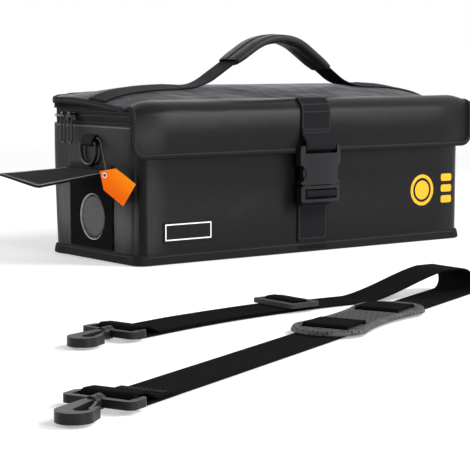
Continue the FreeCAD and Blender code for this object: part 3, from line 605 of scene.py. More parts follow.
def band(name, line, across, width, thick, material, cells, shape=None):
    """Webbing along a line: a flat strip with soft edges. across is its width's direction, one
    for the whole line or one for each point; shape moves a point, knowing how far across the
    strip it is and which way the strip faces."""
    half, r = width / 2, thick / 2
    inner = [-half + 0.9 * r + (width - 1.8 * r) * k / cells for k in range(cells + 1)]
    section = [(-half, -0.35 * r), (-half, 0.35 * r)] + [(s, r) for s in inner]
    section += [(half, 0.35 * r), (half, -0.35 * r)] + [(s, -r) for s in reversed(inner)]
    rows = []
    for k, (point, ahead) in enumerate(zip(line, directions(line))):
        side = (across[k] if isinstance(across, list) else across).normalized()
        normal = side.cross(ahead).normalized() * -1
        row = []
        for s, t in section:
            place = point + side * s + normal * t
            row.append(shape(place, s, normal) if shape else place)
        rows.append(row)
    along = running(line)
    count = len(section)
    points = [p for row in rows for p in row]
    faces, uvs = [], []
    for k in range(len(rows) - 1):
        for c in range(count):
            d = (c + 1) % count
            faces.append([k * count + d, k * count + c, (k + 1) * count + c, (k + 1) * count + d])
            uvs.append([(section[d][0], along[k]), (section[c][0], along[k]),
                        (section[c][0], along[k + 1]), (section[d][0], along[k + 1])])
    for k, order in ((0, 1), (len(rows) - 1, -1)):
        face = [k * count + c for c in range(count)][::order]
        faces.append(face)
        uvs.append([(section[c % count][0], along[k] + section[c % count][1]) for c in face])
    return link_mesh(name, points, faces, material, uvs)


# ---- stitching ---------------------------------------------------------------------------
seams = {}

# A stitch's bow: along it in lengths, up in radii, and its thickness in radii.
THREAD_BOW = ((-0.5, -0.6, 0.45), (-0.3, 0.35, 1.0), (0.3, 0.35, 1.0), (0.5, -0.6, 0.45))
THREAD_LIFT = 0.12


def stitch(seam, line, up, pitch=3.2, length=2.3, radius=0.3):
    """Threads along a line on a surface whose outward direction is up."""
    points, faces = seams.setdefault(seam, ([], []))
    distances = running(line)
    total = distances[-1]
    count = max(1, int(total / pitch))
    gap = total / count

    def place(distance):
        k = 0
        while k < len(distances) - 2 and distances[k + 1] < distance:
            k += 1
        share = (distance - distances[k]) / max(distances[k + 1] - distances[k], 1e-9)
        share = min(1.0, max(0.0, share))
        return line[k].lerp(line[k + 1], share), (line[k + 1] - line[k]).normalized(), k

    for index in range(count):
        middle, ahead, k = place((index + 0.5) * gap)
        out = (up[k] if isinstance(up, list) else up).normalized()
        side = ahead.cross(out).normalized()
        base = len(points)
        for reach, rise, size in THREAD_BOW:
            centre = middle + ahead * (reach * length) + out * (THREAD_LIFT + rise * radius)
            points.extend(circle(centre, side, out, radius * size, 5))
        faces.extend([b, a, d, c] for a, b, c, d in tube_faces(base, len(THREAD_BOW), 5))


def make_stitching(threads):
    for (body, kind), (points, faces) in seams.items():
        piece = link_mesh("stitching_" + kind + "_" + body, points, faces, threads[kind])
        if body in ("bag", "lid"):
            swell(piece)
        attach(piece, body)


# ---- the bag's box -----------------------------------------------------------------------
def stations():
    """Points round the bag's outline from the middle of its back, anticlockwise seen from above:
    each with its outward direction and its distance along the outline."""
    result = []
    step, turns = 6.0, 8
    x = HALF_LENGTH - CORNER
    y = HALF_DEPTH - CORNER
    sides = [
        (Vector((0, HALF_DEPTH, 0)), Vector((-x, HALF_DEPTH, 0)), Y),
        (Vector((-HALF_LENGTH, y, 0)), Vector((-HALF_LENGTH, -y, 0)), -X),
        (Vector((-x, -HALF_DEPTH, 0)), Vector((x, -HALF_DEPTH, 0)), -Y),
        (Vector((HALF_LENGTH, -y, 0)), Vector((HALF_LENGTH, y, 0)), X),
        (Vector((x, HALF_DEPTH, 0)), Vector((0, HALF_DEPTH, 0)), Y),
    ]
    for k, (start, end, out) in enumerate(sides):
        count = math.ceil((end - start).length / step)
        result += [(start.lerp(end, i / count), out) for i in range(count + 1)]
        if k < 4:
            after = sides[k + 1][2]
            centre = end - out * CORNER
            for i in range(1, turns):
                turned = out.slerp(after, i / turns)
                result.append((centre + turned * CORNER, turned))
    along = running([p for p, _ in result])
    return [(p, out, s) for (p, out), s in zip(result, along)]


OUTLINE = stations()
ALONG = [s for _, _, s in OUTLINE]


def ring(outset, z, ripple):
    """One row of points round the bag at a height, moved out from its outline."""
    row = []
    for point, out, s in OUTLINE[:-1]:
        wander = ripple * noise.noise(Vector((s * 0.03, z * 0.05, 3.7)))
        row.append(point + out * (outset + wander) + Z * z)
    return row


def make_shell(cloth, tape):
    profile = [(0, WALL_TOP), (0, 131), (0, 128)]
    profile += [(0, z) for z in range(122, 10, -8)]
    profile += [(0, 8), (0, 4), (-0.4, 1.6), (-1.6, 0.5), (-4.0, 0.3)]
    rows = [ring(outset, z, 0.15 if 10 < z < 128 else 0.0) for outset, z in profile]
    shell = grid_piece("body_shell", rows, cloth, closed=True, cap=True, flip=True,
                       across=ALONG, along=[-z for _, z in profile])
    swell(shell)
    bore(bake(thicken(shell, 1.0)), PORT_RADIUS)
    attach(shell, "bag")
    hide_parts("outer_wall", "outer_bottom")

    profile = [(0.0, 10.3), (0.9, 10.1), (1.35, 9.4), (1.45, 7.0), (1.3, 4.5), (1.5, 2.0),
               (1.3, 0.7), (0.5, 0.1), (-2.0, 0.05), (-6.0, 0.05)]
    rows = []
    for outset, z in profile:
        row = []
        for point, out, s in OUTLINE[:-1]:
            wander = 0.22 * noise.noise(Vector((s * 0.06, z * 0.2, 9.1)))
            flare = 4.8 * abs(out.x * out.y) * max(0.0, 1 - abs(z - 3.0) / 9.0)
            rise = 0.25 * noise.noise(Vector((s * 0.05, 2.2, 1.0))) if z > 6 else 0.0
            reach = outset + (wander + flare if outset > 0.6 else 0)
            row.append(point + out * reach + Z * (z + rise))
        rows.append(row)
    binding = swell(grid_piece("base_binding_tape", rows, tape, closed=True, flip=True,
                               across=ALONG))
    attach(binding, "bag")
    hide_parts("base_binding")
    line = [point + out * 1.4 + Z * 8.2 for point, out, _ in OUTLINE]
    stitch(("bag", "black"), line, [out for _, out, _ in OUTLINE])


def make_lining(lining):
    profile = [(-1.1, WALL_TOP - 0.4), (-1.3, WALL_TOP + 0.15), (-2.0, WALL_TOP + 0.4),
               (-4.0, WALL_TOP + 0.35), (-4.9, WALL_TOP - 0.3)]
    profile += [(-4.95, z) for z in (130, 120, 100, 80, 60, 40, 20, 9)]
    profile += [(-5.4, 6.4), (-6.6, 5.3), (-9.0, 4.95)]
    rows = [ring(outset, z, 0.2 if 9 < z < 130 else 0.0) for outset, z in profile]
    piece = grid_piece("lining_of_box", rows, lining, closed=True, cap=True, flip=True,
                       across=ALONG, along=[-z for _, z in profile])
    bore(bake(thicken(piece, 0.5)), PORT_RADIUS - 0.3)
    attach(piece, "bag")
    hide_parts("inner_lining")


# ---- the lid -----------------------------------------------------------------------------
def smooth(value):
    value = min(1.0, max(0.0, value))
    return value * value * (3 - 2 * value)


def lid_edge(y):
    """Height of the lid's end edges: level at the back, dipping under the flap at the front."""
    share = min(1.0, max(0.0, (50.0 - y) / 101.0))
    return 159.3 - 9.1 * share ** 1.5


def lid_top(x, y):
    """Height of the lid's cloth: fullest behind its middle line, and falling at both ends."""
    if y <= ROLL_Y:
        full = ROLL_Z + math.sqrt(max(0.0, NOSE ** 2 - (y - ROLL_Y) ** 2))
    else:
        share = (y - ROLL_Y) / (HALF_DEPTH - ROLL_Y)
        full = ROLL_Z + NOSE + 8.0 * share + 10.0 * math.sin(math.pi * share ** 1.3)
    fall = min(1.0, abs(x) / HALF_LENGTH) ** 7
    return full + (lid_edge(y) - full) * fall


def crown(x):
    return lid_top(x, 0.0)


def swell(piece):
    """Bow a piece of the box's or lid's cloth outwards near the top of its back."""
    back, aside = 8.0, 4.0
    for vertex in piece.data.vertices:
        x, y, z = (value / MM for value in vertex.co)
        share = smooth((z + 150.0) / 260.0) * smooth((y - 56.0) / 19.0)
        vertex.co.y += back * share * MM
        vertex.co.x += math.copysign(aside, x) * share * smooth((abs(x) - 150.0) / 60.0) * MM
    return piece


def in_corner(x, y, inset):
    """A point kept inside the bag's rounded outline."""
    cx = HALF_LENGTH - CORNER
    cy = HALF_DEPTH - CORNER
    if abs(x) > cx and abs(y) > cy:
        away = Vector((abs(x) - cx, abs(y) - cy))
        limit = CORNER - inset
        if away.length > limit:
            away = away.normalized() * limit
        x = math.copysign(cx + away.x, x)
        y = math.copysign(cy + away.y, y)
    return x, y


def spread_values(low, high, count, ease):
    """Values from low to high that crowd towards both ends."""
    result = []
    for k in range(count + 1):
        t = k / count
        eased = 0.5 - 0.5 * math.cos(math.pi * t)
        result.append(low + (high - low) * (t * (1 - ease) + eased * ease))
    return result


def dome(name, material, inset, flip=False, ripple=0.0, rim=0.0, cut_back=False):
    """The lid's form as a shell: its crowned top and the sides down to its lower edge, where a
    rim may turn outwards. Cut back, it stops short of the thin front corners."""
    half_x = HALF_LENGTH - inset
    half_y = HALF_DEPTH - inset
    xs = spread_values(-half_x, half_x, 56, 0.75)
    ys = spread_values(-half_y, half_y, 26, 0.7)
    rows = []
    for y in ys:
        row = []
        for x in xs:
            px, py = in_corner(x, y, inset)
            soft = ripple * noise.noise(Vector((px * 0.018, py * 0.03, 5.0)))
            near_edge = min(1.0, (half_x - abs(x)) / 30.0, (half_y - abs(y)) / 30.0)
            z = max(LID_BOTTOM + 0.5, lid_top(px, py) - inset + soft * near_edge)
            row.append(Vector((px, py, z)))
        rows.append(row)
    count = len(xs)
    points = [p for row in rows for p in row]
    faces, uvs = [], []
    for r in range(len(rows) - 1):
        for c in range(count - 1):
            face = [r * count + c, r * count + c + 1, (r + 1) * count + c + 1, (r + 1) * count + c]
            faces.append(face)
            uvs.append([(points[k].x, points[k].y) for k in face])
    border = rim_of_grid(len(rows), count)
    around = running([points[k] for k in border] + [points[border[0]]])
    upper = border
    for share, out in ((0.7, 0.0), (0.35, 0.0), (0.0, 0.0), (-0.02, rim))[:4 if rim else 3]:
        lower = []
        for k in border:
            p = points[k]
            lower.append(len(points))
            points.append(Vector((p.x * (1 + out / half_x), p.y * (1 + out / half_y),
                                  LID_BOTTOM + (p.z - LID_BOTTOM) * share)))
        for i in range(len(border)):
            j = (i + 1) % len(border)
            faces.append([upper[j], upper[i], lower[i], lower[j]])
            a, b = around[i], around[i + 1]
            uvs.append([(b, points[upper[j]].z), (a, points[upper[i]].z),
                        (a, points[lower[i]].z), (b, points[lower[j]].z)])
        upper = lower
    if cut_back:
        kept = [k for k, p in enumerate(points) if abs(p.x) < half_x - 13 or p.y > -half_y + 31]
        number = {k: n for n, k in enumerate(kept)}
        whole = [n for n, face in enumerate(faces) if all(k in number for k in face)]
        uvs = [uvs[n] for n in whole]
        faces = [[number[k] for k in faces[n]] for n in whole]
        points = [points[k] for k in kept]
    if flip:
        faces = [face[::-1] for face in faces]
        uvs = [place[::-1] for place in uvs]
    return swell(link_mesh(name, points, faces, material, uvs))


def back_round():
    """Indices of the outline from the lid's front left, round the back, to its front right."""
    places = [(k, p.x) for k, (p, _, _) in enumerate(OUTLINE[:-1]) if p.y > ROLL_Y + 2.5]
    left_run = [k for k, x in places if x < -1]
    right_run = [k for k, x in places if x > 1]
    return left_run[::-1] + [0] + right_run[::-1]


def make_lid(cloth, top_cloth, tape, lining, board):
    cover = dome("lid_cover", top_cloth, 0.0, ripple=0.9)
    thicken(cover, 1.0)
    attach(cover, "lid")
    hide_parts("lid_panel")

    stiffener = dome("lid_foam_board", board, 1.3, cut_back=True)
    thicken(stiffener, 1.2)
    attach(stiffener, "lid")
    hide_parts("lid_board")

    inside = dome("lid_lining_cloth", lining, 6.2, flip=True, rim=5.0)
    thicken(inside, 0.6)
    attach(inside, "lid")
    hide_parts("lid_lining")

    order = back_round()
    rows = []
    for outset, share in ((0.0, 0.0), (1.1, 0.02), (1.5, 0.25), (1.3, 0.5), (1.5, 0.75), (0.9, 0.98),
                          (0.0, 1.0)):
        row = []
        for k in order:
            point, out, s = OUTLINE[k]
            high = lid_edge(point.y) + 0.2
            low = max(high - 5.8, 148.6)
            wander = 0.18 * noise.noise(Vector((s * 0.07, share * 6, 4.1))) if outset > 0.5 else 0.0
            row.append(point + out * (outset + wander) + Z * (low + (high - low) * share))
        rows.append(row)
    binding = swell(grid_piece("lid_binding_tape", rows, tape, flip=True))
    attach(binding, "lid")
    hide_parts("lid_binding")
    line = []
    for k in order:
        point, out, _ = OUTLINE[k]
        line.append(point + out * 1.35 + Z * (lid_edge(point.y) - 2.4))
    stitch(("lid", "black"), line, [OUTLINE[k][1] for k in order])

    piping = []
    for k in order:
        point, out, s = OUTLINE[k]
        z = lid_top(point.x, min(point.y, HALF_DEPTH - 0.5)) - 0.5
        pucker = 0.5 * noise.noise(Vector((s * 0.16, 0.0, 8.0)))
        piping.append(point - out * 0.3 + Z * (z + pucker))
    rows = []
    for k, (centre, ahead) in enumerate(zip(piping, directions(piping))):
        out = OUTLINE[order[k]][1]
        up = out.cross(ahead).normalized()
        if up.z < 0:
            up.negate()
        rows.append(circle(centre, out, up, 1.5, 8))
    piece = swell(grid_piece("lid_edge_piping", rows, tape, closed=True))
    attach(piece, "lid")

    x = HALF_LENGTH - CORNER - 1
    rows = []
    for z, y in ((134.0, 74.5), (138.0, 74.75), (142.0, 74.85), (146.0, 74.8), (148.0, 74.7),
                 (149.6, 74.6)):
        rows.append([Vector((px, y, z)) for px in even(-x, x, 60)])
    hinge = swell(grid_piece("lid_hinge_strip", rows, cloth))
    thicken(hinge, 0.9, 0.0)
    bake(hinge)
    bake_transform(hinge)
    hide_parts("lid_hinge_cloth")


# ---- the front flap ----------------------------------------------------------------------
def on_roll(x, radius, angle):
    """A point round the roll's middle, with 180 degrees at its front."""
    turned = math.radians(angle)
    return Vector((x, ROLL_Y + radius * math.cos(turned), ROLL_Z + radius * math.sin(turned)))


def flap_path():
    """The flap's outer face from where it leaves the lid's top, over the roll, to its lower edge."""
    line = [Vector((0, y, 0)) for y in (-50.0, -54.0, -58.0, -61.5)]
    line += [on_roll(0, ROLL + 1.0, angle) for angle in even(90, 180, 12)]
    return line + [Vector((0, FLAP_Y - 1.0, z)) for z in even(ROLL_Z, FLAP_BOTTOM, 9)[1:]]


def flap_point(x, index, path, lift=0.0):
    """A point of the flap's outer face: its four first rows lie on the lid."""
    p = path[index]
    if index < 4:
        rise = (-0.5, 0.35, 0.9, 1.6)[index]
        z = lid_top(min(max(x, -HALF_LENGTH), HALF_LENGTH), p.y) + rise + lift
        return Vector((x, p.y, z))
    wave = 0.45 * noise.noise(Vector((x * 0.021, 7.0, 0.0)))
    over = max(0.0, abs(x) - HALF_LENGTH + 16)
    share = min(1.0, max(0.0, 1 - (index - 4) / 9))
    droop = share * 0.012 * over * over
    direction = Vector((0, p.y - ROLL_Y, p.z - ROLL_Z)) if index <= 16 else Vector((0, -1, 0))
    direction.normalize()
    belly = 0.0
    if index > 12:
        down = (ROLL_Z - p.z) / (ROLL_Z - FLAP_BOTTOM)
        uneven = noise.noise(Vector((x * 0.012, down, 2.0)))
        belly = 0.5 * math.sin(math.pi * min(1.0, max(0.0, down))) * uneven
    return Vector((x, p.y, p.z - droop)) + direction * (lift + (wave if index < 14 else 0) + belly)


def make_flap(cloth, tape):
    path = flap_path()
    rolled = running([Vector((0, p.y, p.z if k > 3 else 158)) for k, p in enumerate(path)])
    end = rolled[-1]
    xs = spread_values(-FLAP_HALF + 0.6, FLAP_HALF - 0.6, 84, 0.55)
    rows = []
    for index in range(len(path)):
        row = []
        for x in xs:
            away = end - rolled[index]
            px = x
            if index > 3:
                cx = FLAP_HALF - FLAP_CORNER
                if abs(x) > cx and away < FLAP_CORNER:
                    limit = FLAP_CORNER - 0.6
                    side = abs(x) - cx
                    deep = FLAP_CORNER - away
                    reach = math.hypot(side, deep)
                    if reach > limit:
                        px = math.copysign(cx + side * limit / reach, x)
            else:
                limit = HALF_LENGTH - 1.0 + (FLAP_HALF - HALF_LENGTH) * (0.0, 0.1, 0.4, 0.75)[index]
                px = x * limit / FLAP_HALF
            row.append(flap_point(px, index, path))
        rows.append(row)
    cx = FLAP_HALF - FLAP_CORNER
    for index in range(len(rows)):
        away = end - rolled[index]
        if away < FLAP_CORNER - 0.001:
            for k, x in enumerate(xs):
                side = abs(x) - cx
                deep = FLAP_CORNER - away
                reach = math.hypot(max(side, 0.0), deep)
                limit = FLAP_CORNER - 0.6
                if side > 0 and reach > limit:
                    rows[index][k].z += deep * (1 - limit / reach)
    cover = grid_piece("flap_cover", rows, cloth, across=xs, along=rolled, flip=True)
    thicken(cover, 1.7)
    rounding = cover.modifiers.new("smooth", "SUBSURF")
    rounding.levels = 1
    rounding.render_levels = 1
    bake(cover)
    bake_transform(cover)
    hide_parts("flap_panel")

    down = [distance for distance in rolled[4:] if end - distance > FLAP_CORNER]
    corner = [(FLAP_CORNER * math.cos(a), end - FLAP_CORNER + FLAP_CORNER * math.sin(a))
              for a in map(math.radians, even(0, 90, 10))]
    line = [(-FLAP_HALF, distance) for distance in down]
    line += [(-cx - reach, distance) for reach, distance in corner]
    line += [(x, end) for x in even(-cx, cx, 60)[1:-1]]
    line += [(cx + reach, distance) for reach, distance in corner[::-1]]
    line += [(FLAP_HALF, distance) for distance in down[::-1]]

    def on_flap(x, distance, lift):
        """A point by its distance along the flap's path."""
        k = 0
        while k < len(rolled) - 2 and rolled[k + 1] < distance:
            k += 1
        share = (distance - rolled[k]) / (rolled[k + 1] - rolled[k])
        low = flap_point(x, k, path, lift)
        high = flap_point(x, k + 1, path, lift)
        return low.lerp(high, share)

    # the binding's section: inwards from the flap's edge, and up from its outer face
    cells = [(5.2, 0.05), (4.6, 0.75), (3.6, 0.95), (2.4, 1.0), (1.1, 0.85), (0.2, 0.2), (-0.15, -0.9),
             (0.2, -1.9), (1.1, -2.5), (3.6, -2.6), (4.8, -2.2)]
    rows = []
    stitches = []
    middles = []
    for x, distance in line:
        inward_x = 0.0
        inward_d = 0.0
        if abs(x) > cx and distance > end - FLAP_CORNER:
            away = Vector((abs(x) - cx, distance - (end - FLAP_CORNER))).normalized()
            inward_x, inward_d = -math.copysign(away.x, x), -away.y
        elif abs(x) > cx:
            inward_x = -math.copysign(1.0, x)
        else:
            inward_d = -1.0
        row = []
        for reach, lift in cells:
            wander = 0.15 * noise.noise(Vector((x * 0.05, distance * 0.07, 1.5)))
            height = lift + (wander if lift > 0.5 else 0)
            row.append(on_flap(x + inward_x * reach, distance + inward_d * reach, height))
        rows.append(row)
        stitches.append(on_flap(x + inward_x * 3.9, distance + inward_d * 3.9, 0.95))
        middles.append(Vector((0, -1, 0)) if distance > rolled[16] else
                       Vector((0, row[2].y - ROLL_Y, row[2].z - ROLL_Z)).normalized())
    binding = grid_piece("flap_binding_tape", rows, tape, closed=True)
    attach(binding, "flap")
    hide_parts("flap_binding")
    stitch(("flap", "black"), stitches, middles)


# ---- the zip -----------------------------------------------------------------------------
def front_round():
    """Indices of the outline from the back of the left side, round the front, to the right."""
    return [k for k, (p, _, _) in enumerate(OUTLINE) if p.y < HALF_DEPTH - 6.0]


def zip_line(step):
    """Places along the zip at even distances: a point on the outline and its outward direction."""
    order = front_round()
    line = [OUTLINE[k][0] for k in order]
    outs = [OUTLINE[k][1] for k in order]
    along = running(line)
    count = int(along[-1] / step)
    result, k = [], 0
    for i in range(count + 1):
        distance = along[-1] * i / count
        while k < len(along) - 2 and along[k + 1] < distance:
            k += 1
        share = (distance - along[k]) / (along[k + 1] - along[k])
        result.append((line[k].lerp(line[k + 1], share), outs[k].lerp(outs[k + 1], share).normalized()))
    return result


# one tooth of the coil: outwards, along the zip, and away from the zip's middle
TOOTH = ((-0.2, 0.9, 1.5), (0.55, 0.95, 0.6), (0.8, 0.2, -0.45), (0.4, -0.5, -0.75), (-0.5, -0.5, 0.2),
         (-1.0, 0.1, 1.4))


def make_zip(tape, coil):
    order = front_round()
    across = running([OUTLINE[k][0] for k in order])
    for name, node, body, z0, z1 in (
        ("zip_tape_lower_cloth", "zip_tape_lower", "bag", 133.2, 140.6),
        ("zip_tape_upper_cloth", "zip_tape_upper", "lid", 142.4, 149.6),
    ):
        rows = []
        for share in (0.0, 0.12, 0.3, 0.5, 0.7, 0.88, 1.0):
            z = z0 + (z1 - z0) * share
            fold = 0.25 * math.sin(math.pi * share)
            rows.append([OUTLINE[k][0] + OUTLINE[k][1] * (-0.35 - fold) + Z * z for k in order])
        piece = swell(grid_piece(name, rows, tape, across=across))
        thicken(piece, 0.6)
        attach(piece, body)
        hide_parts(node)

    for name, node, body, side in (
        ("zip_coil_lower", "zip_teeth_lower", "bag", -1),
        ("zip_coil_upper", "zip_teeth_upper", "lid", 1),
    ):
        points, faces = [], []
        for index, (point, out) in enumerate(zip_line(1.45)):
            if (index % 2 == 0) != (side > 0):
                continue
            ahead = out.cross(Z).normalized()
            # The zip is open between the posts of its two sliders as they stand at rest.
            apart = 0.0
            if point.x < 0:
                apart = smooth((point.y - 35.9) / 2.5) * smooth((51.8 - point.y) / 2.5)
            middle = ZIP_MIDDLE + side * 2.05 * apart
            base = len(points)
            for reach, shift, rise in TOOTH:
                centre = point + out * (0.5 + reach * 0.6) + ahead * (shift * 0.3)
                centre = centre + Z * (middle + side * rise)
                points += circle(centre, ahead, Z, 0.36, 4, math.pi / 4)
            faces += tube_faces(base, len(TOOTH), 4)
            faces.append([base, base + 1, base + 2, base + 3])
            last = base + (len(TOOTH) - 1) * 4
            faces.append([last + 3, last + 2, last + 1, last])
        coil_piece = swell(link_mesh(name, points, faces, coil))
        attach(coil_piece, body)
        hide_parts(node)
    for z, body in ((136.2, "bag"), (147.0, "lid")):
        line = [OUTLINE[k][0] - OUTLINE[k][1] * 0.35 + Z * z for k in order]
        stitch((body, "black"), line, [OUTLINE[k][1] for k in order], radius=0.25)


# ---- the handle --------------------------------------------------------------------------
def handle_line():
    knee = 97.0
    slope = math.radians(32.5)
    corners = [Vector((x + HANDLE_X, 0, crown(x + HANDLE_X) + 1.1))
               for x in (-FOOT, -knee, 0, knee, FOOT)]
    corners[2].z = corners[3].z + knee * math.tan(slope)
    top = (corners[2].z - HANDLE_TOP) / (1 / math.cos(slope) - 1)
    return divide(arc_run(corners, (55.0, top, 55.0), 0.03), 4.0)


def lean(point):
    """The slack handle leans a little to the front."""
    return point - Y * (0.11 * max(0.0, point.z - 172.0))


def make_handle(webbing, wrap):
    line = handle_line()

    def lie_on_lid(place, s, _):
        sag = lid_top(place.x, s) - crown(place.x)
        return place + Z * sag

    for name, x0, x1 in (("handle_strip_left", -213.0, HANDLE_X - FOOT),
                         ("handle_strip_right", HANDLE_X + FOOT, 213.0)):
        run = []
        for x in even(x0, x1, 40):
            ripple = 0.25 * noise.noise(Vector((x * 0.05, 1.0, 4.0)))
            run.append(Vector((x, 0, crown(x) + 0.3 + 0.8 + max(-0.1, ripple))))
        strip = band(name, run, Y, 30.0, WEBBING, webbing, 8, lie_on_lid)
        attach(strip, "lid")
        seam = 12.6
        seams_along = [[(p.x, y) for p in run] for y in (-seam, seam)]
        ends = (x1 - 5, x1 - 28) if x0 < 0 else (x0 + 5, x0 + 28)
        seams_across = [[(x, y) for y in even(-seam, seam, 8)] for x in ends]
        for places in seams_along + seams_across:
            stitch(("lid", "black"), [Vector((x, y, lid_top(x, y) + 1.9)) for x, y in places], Z)
        if x0 < 0:
            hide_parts("handle_webbing_sewn")

    grip_left, grip_right = -55.0, 75.0
    left_leg = [p for p in line if p.x < grip_left + 8]
    right_leg = [p for p in line if p.x > grip_right - 8]
    inside = [p for p in line if grip_left - 1 < p.x < grip_right + 1]

    def settle(place, s, _):
        reach = min(abs(place.x - (HANDLE_X - FOOT)), abs(place.x - (HANDLE_X + FOOT)))
        share = 1 - smooth(reach / 34.0)
        sag = lid_top(max(-214.0, min(214.0, place.x)), s) - crown(place.x)
        return lean(place + Z * (sag * share))

    for name, run, node, ends in (
        ("handle_leg_left_webbing", left_leg, "handle_leg_left", ((-0.108, 0.170), (-0.060, 0.192))),
        ("handle_leg_right_webbing", right_leg, "handle_leg_right", ((0.120, 0.170), (0.081, 0.190))),
    ):
        leg = band(name, run, Y, HANDLE_WIDTH, WEBBING, webbing, 8, settle)
        (x0, z0), (x1, z1) = ends
        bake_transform(leg)
        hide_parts(node)

    core = band("handle_core_webbing", inside, Y, HANDLE_WIDTH, WEBBING, webbing, 4,
                lambda place, _, __: lean(place))
    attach(core, "handle")
    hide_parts("handle_core")

    # The wrap's section: across the grip and up from its middle, with a raised seam at -8.4
    # and the wrap's overlapping edge below.
    section = [
        (-17.3, 0.0), (-17.0, 2.1), (-15.2, 3.4), (-12.2, 3.9), (-9.4, 4.1), (-8.4, 4.9), (-7.4, 4.1),
        (-2.0, 4.3), (4.0, 4.3), (10.0, 4.1), (14.4, 3.6), (16.8, 2.2), (17.3, 0.0),
        (16.9, -2.2), (14.8, -3.6), (10.0, -4.1), (4.0, -4.3), (1.2, -4.5), (0.6, -3.3), (-2.0, -4.0),
        (-8.0, -4.1), (-14.4, -3.7), (-16.8, -2.2),
    ]
    rows = []
    ups = [ahead.cross(Y) * -1 for ahead in directions(inside)]
    total = running(inside)
    for point, up, reach in zip(inside, ups, total):
        share = reach / total[-1]
        pinch = 1.0 - 0.10 * max(0.0, 1 - share * 14) - 0.10 * max(0.0, 1 - (1 - share) * 14)
        puff = 1.0 + 0.05 * math.sin(math.pi * share) + 0.04 * noise.noise(Vector((share * 9, 0, 3)))
        rows.append([lean(point + Y * (s * pinch) + up * (t * pinch * puff)) for s, t in section])
    grip = grid_piece("handle_grip_wrap", rows, wrap, closed=True,
                      across=running(rows[0] + rows[0][:1]), along=total)
    thicken(grip, 1.2)
    bake(grip)
    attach(grip, "handle")
    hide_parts("handle_grip")
    for s, t in ((-9.9, 4.15), (-6.6, 4.2)):
        top = [lean(p + Y * s + up * t) for p, up in zip(inside[1:-1], ups[1:-1])]
        stitch(("handle", "black"), top, ups[1:-1], radius=0.25)


# ---- front webbing -----------------------------------------------------------------------
def cross_row(y, z):
    """The line of a seam across the buckle's webbing."""
    return [Vector((x, y, z)) for x in even(-BUCKLE_SEAM, BUCKLE_SEAM, 10)]


def make_front_webbing(webbing):
    strap_half = WEBBING / 2
    first = FLAP_Y - 1.0 - strap_half - 0.1
    second = first - 1.6
    middle_y = -87.0
    around = 1.9 + 0.3 + strap_half
    roll = ROLL + 1.0 + strap_half + 0.1
    over = [on_roll(0, roll, angle) for angle in even(112, 180, 9)]
    corners = [Vector((0, y, z)) for y, z in (
        (first, ROLL_Z), (first, 130.0), (second, 122.0), (middle_y - around, 113.5),
        (middle_y - around, 108.5 - around), (middle_y + around, 108.5 - around),
        (first, 114.0), (first, 121.0))]
    hang = arc_run(corners, [around] * 6, 0.2)
    line = divide(over + hang[1:], 3.0)

    def ease(place, s, normal):
        edge = abs(s) / 20.0
        return place + normal * (-0.10 * edge * edge)

    upper = band("buckle_strap_upper_webbing", line, X, BUCKLE_WIDTH, WEBBING, webbing, 10, ease)
    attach(upper, "flap")
    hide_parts("buckle_strap_upper")
    for z in (126.5, 123.5):
        row = cross_row(second - 0.2 + (z - 122.0) * 0.2, z)
        stitch(("flap", "black"), row, -Y, radius=0.4, length=2.4)
    for angle in (122, 150, 178):
        out = Vector((0, math.cos(math.radians(angle)), math.sin(math.radians(angle))))
        middle = Vector((0, ROLL_Y, ROLL_Z)) + out * (roll + 0.85)
        row = [middle + X * x for x in even(-BUCKLE_SEAM, BUCKLE_SEAM, 10)]
        stitch(("flap", "black"), row, out, radius=0.36)
    for x in (-BUCKLE_SEAM, BUCKLE_SEAM):
        side = [on_roll(x, roll + 0.85, angle) for angle in even(122, 180, 8)]
        side.append(Vector((x, first - 0.85, 128.0)))
        ups = [Vector((0, p.y - ROLL_Y, p.z - ROLL_Z)) for p in side[:-1]] + [-Y]
        stitch(("flap", "black"), side, ups, radius=0.36)

    sewn_y = FRONT - strap_half - 0.1
    run = divide([Vector((0, sewn_y, 3.0)), Vector((0, sewn_y, 50.5))], 4.0)
    lower = band("buckle_strap_lower_webbing", run, X, BUCKLE_WIDTH, WEBBING, webbing, 10)
    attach(lower, "bag")
    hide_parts("buckle_strap_lower")
    box = [cross_row(sewn_y - 0.8, z) for z in (47.0, 14.0)]
    box += [[Vector((x, sewn_y - 0.8, z)) for z in even(14.0, 47.0, 10)] for x in (-BUCKLE_SEAM, BUCKLE_SEAM)]
    for row in box:
        stitch(("bag", "black"), row, -Y, radius=0.36)

    bar_front = middle_y - 2.6 - 0.3 - strap_half
    corners = [Vector((0, y, z)) for y, z in (
        (sewn_y, 49.4), (FRONT - 3.6, 58.0), (FRONT - 4.2, 64.4), (bar_front, 64.4), (bar_front, 57.6),
        (FRONT - 6.2, 57.6), (FRONT - 5.8, 48.5))]
    loop_line = divide(arc_run(corners, [2.2] * 5, 0.3), 2.5)
    loop = band("buckle_strap_loop_webbing", loop_line, X, BUCKLE_WIDTH, WEBBING, webbing, 10)
    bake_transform(loop)
    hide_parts("buckle_strap_loop")


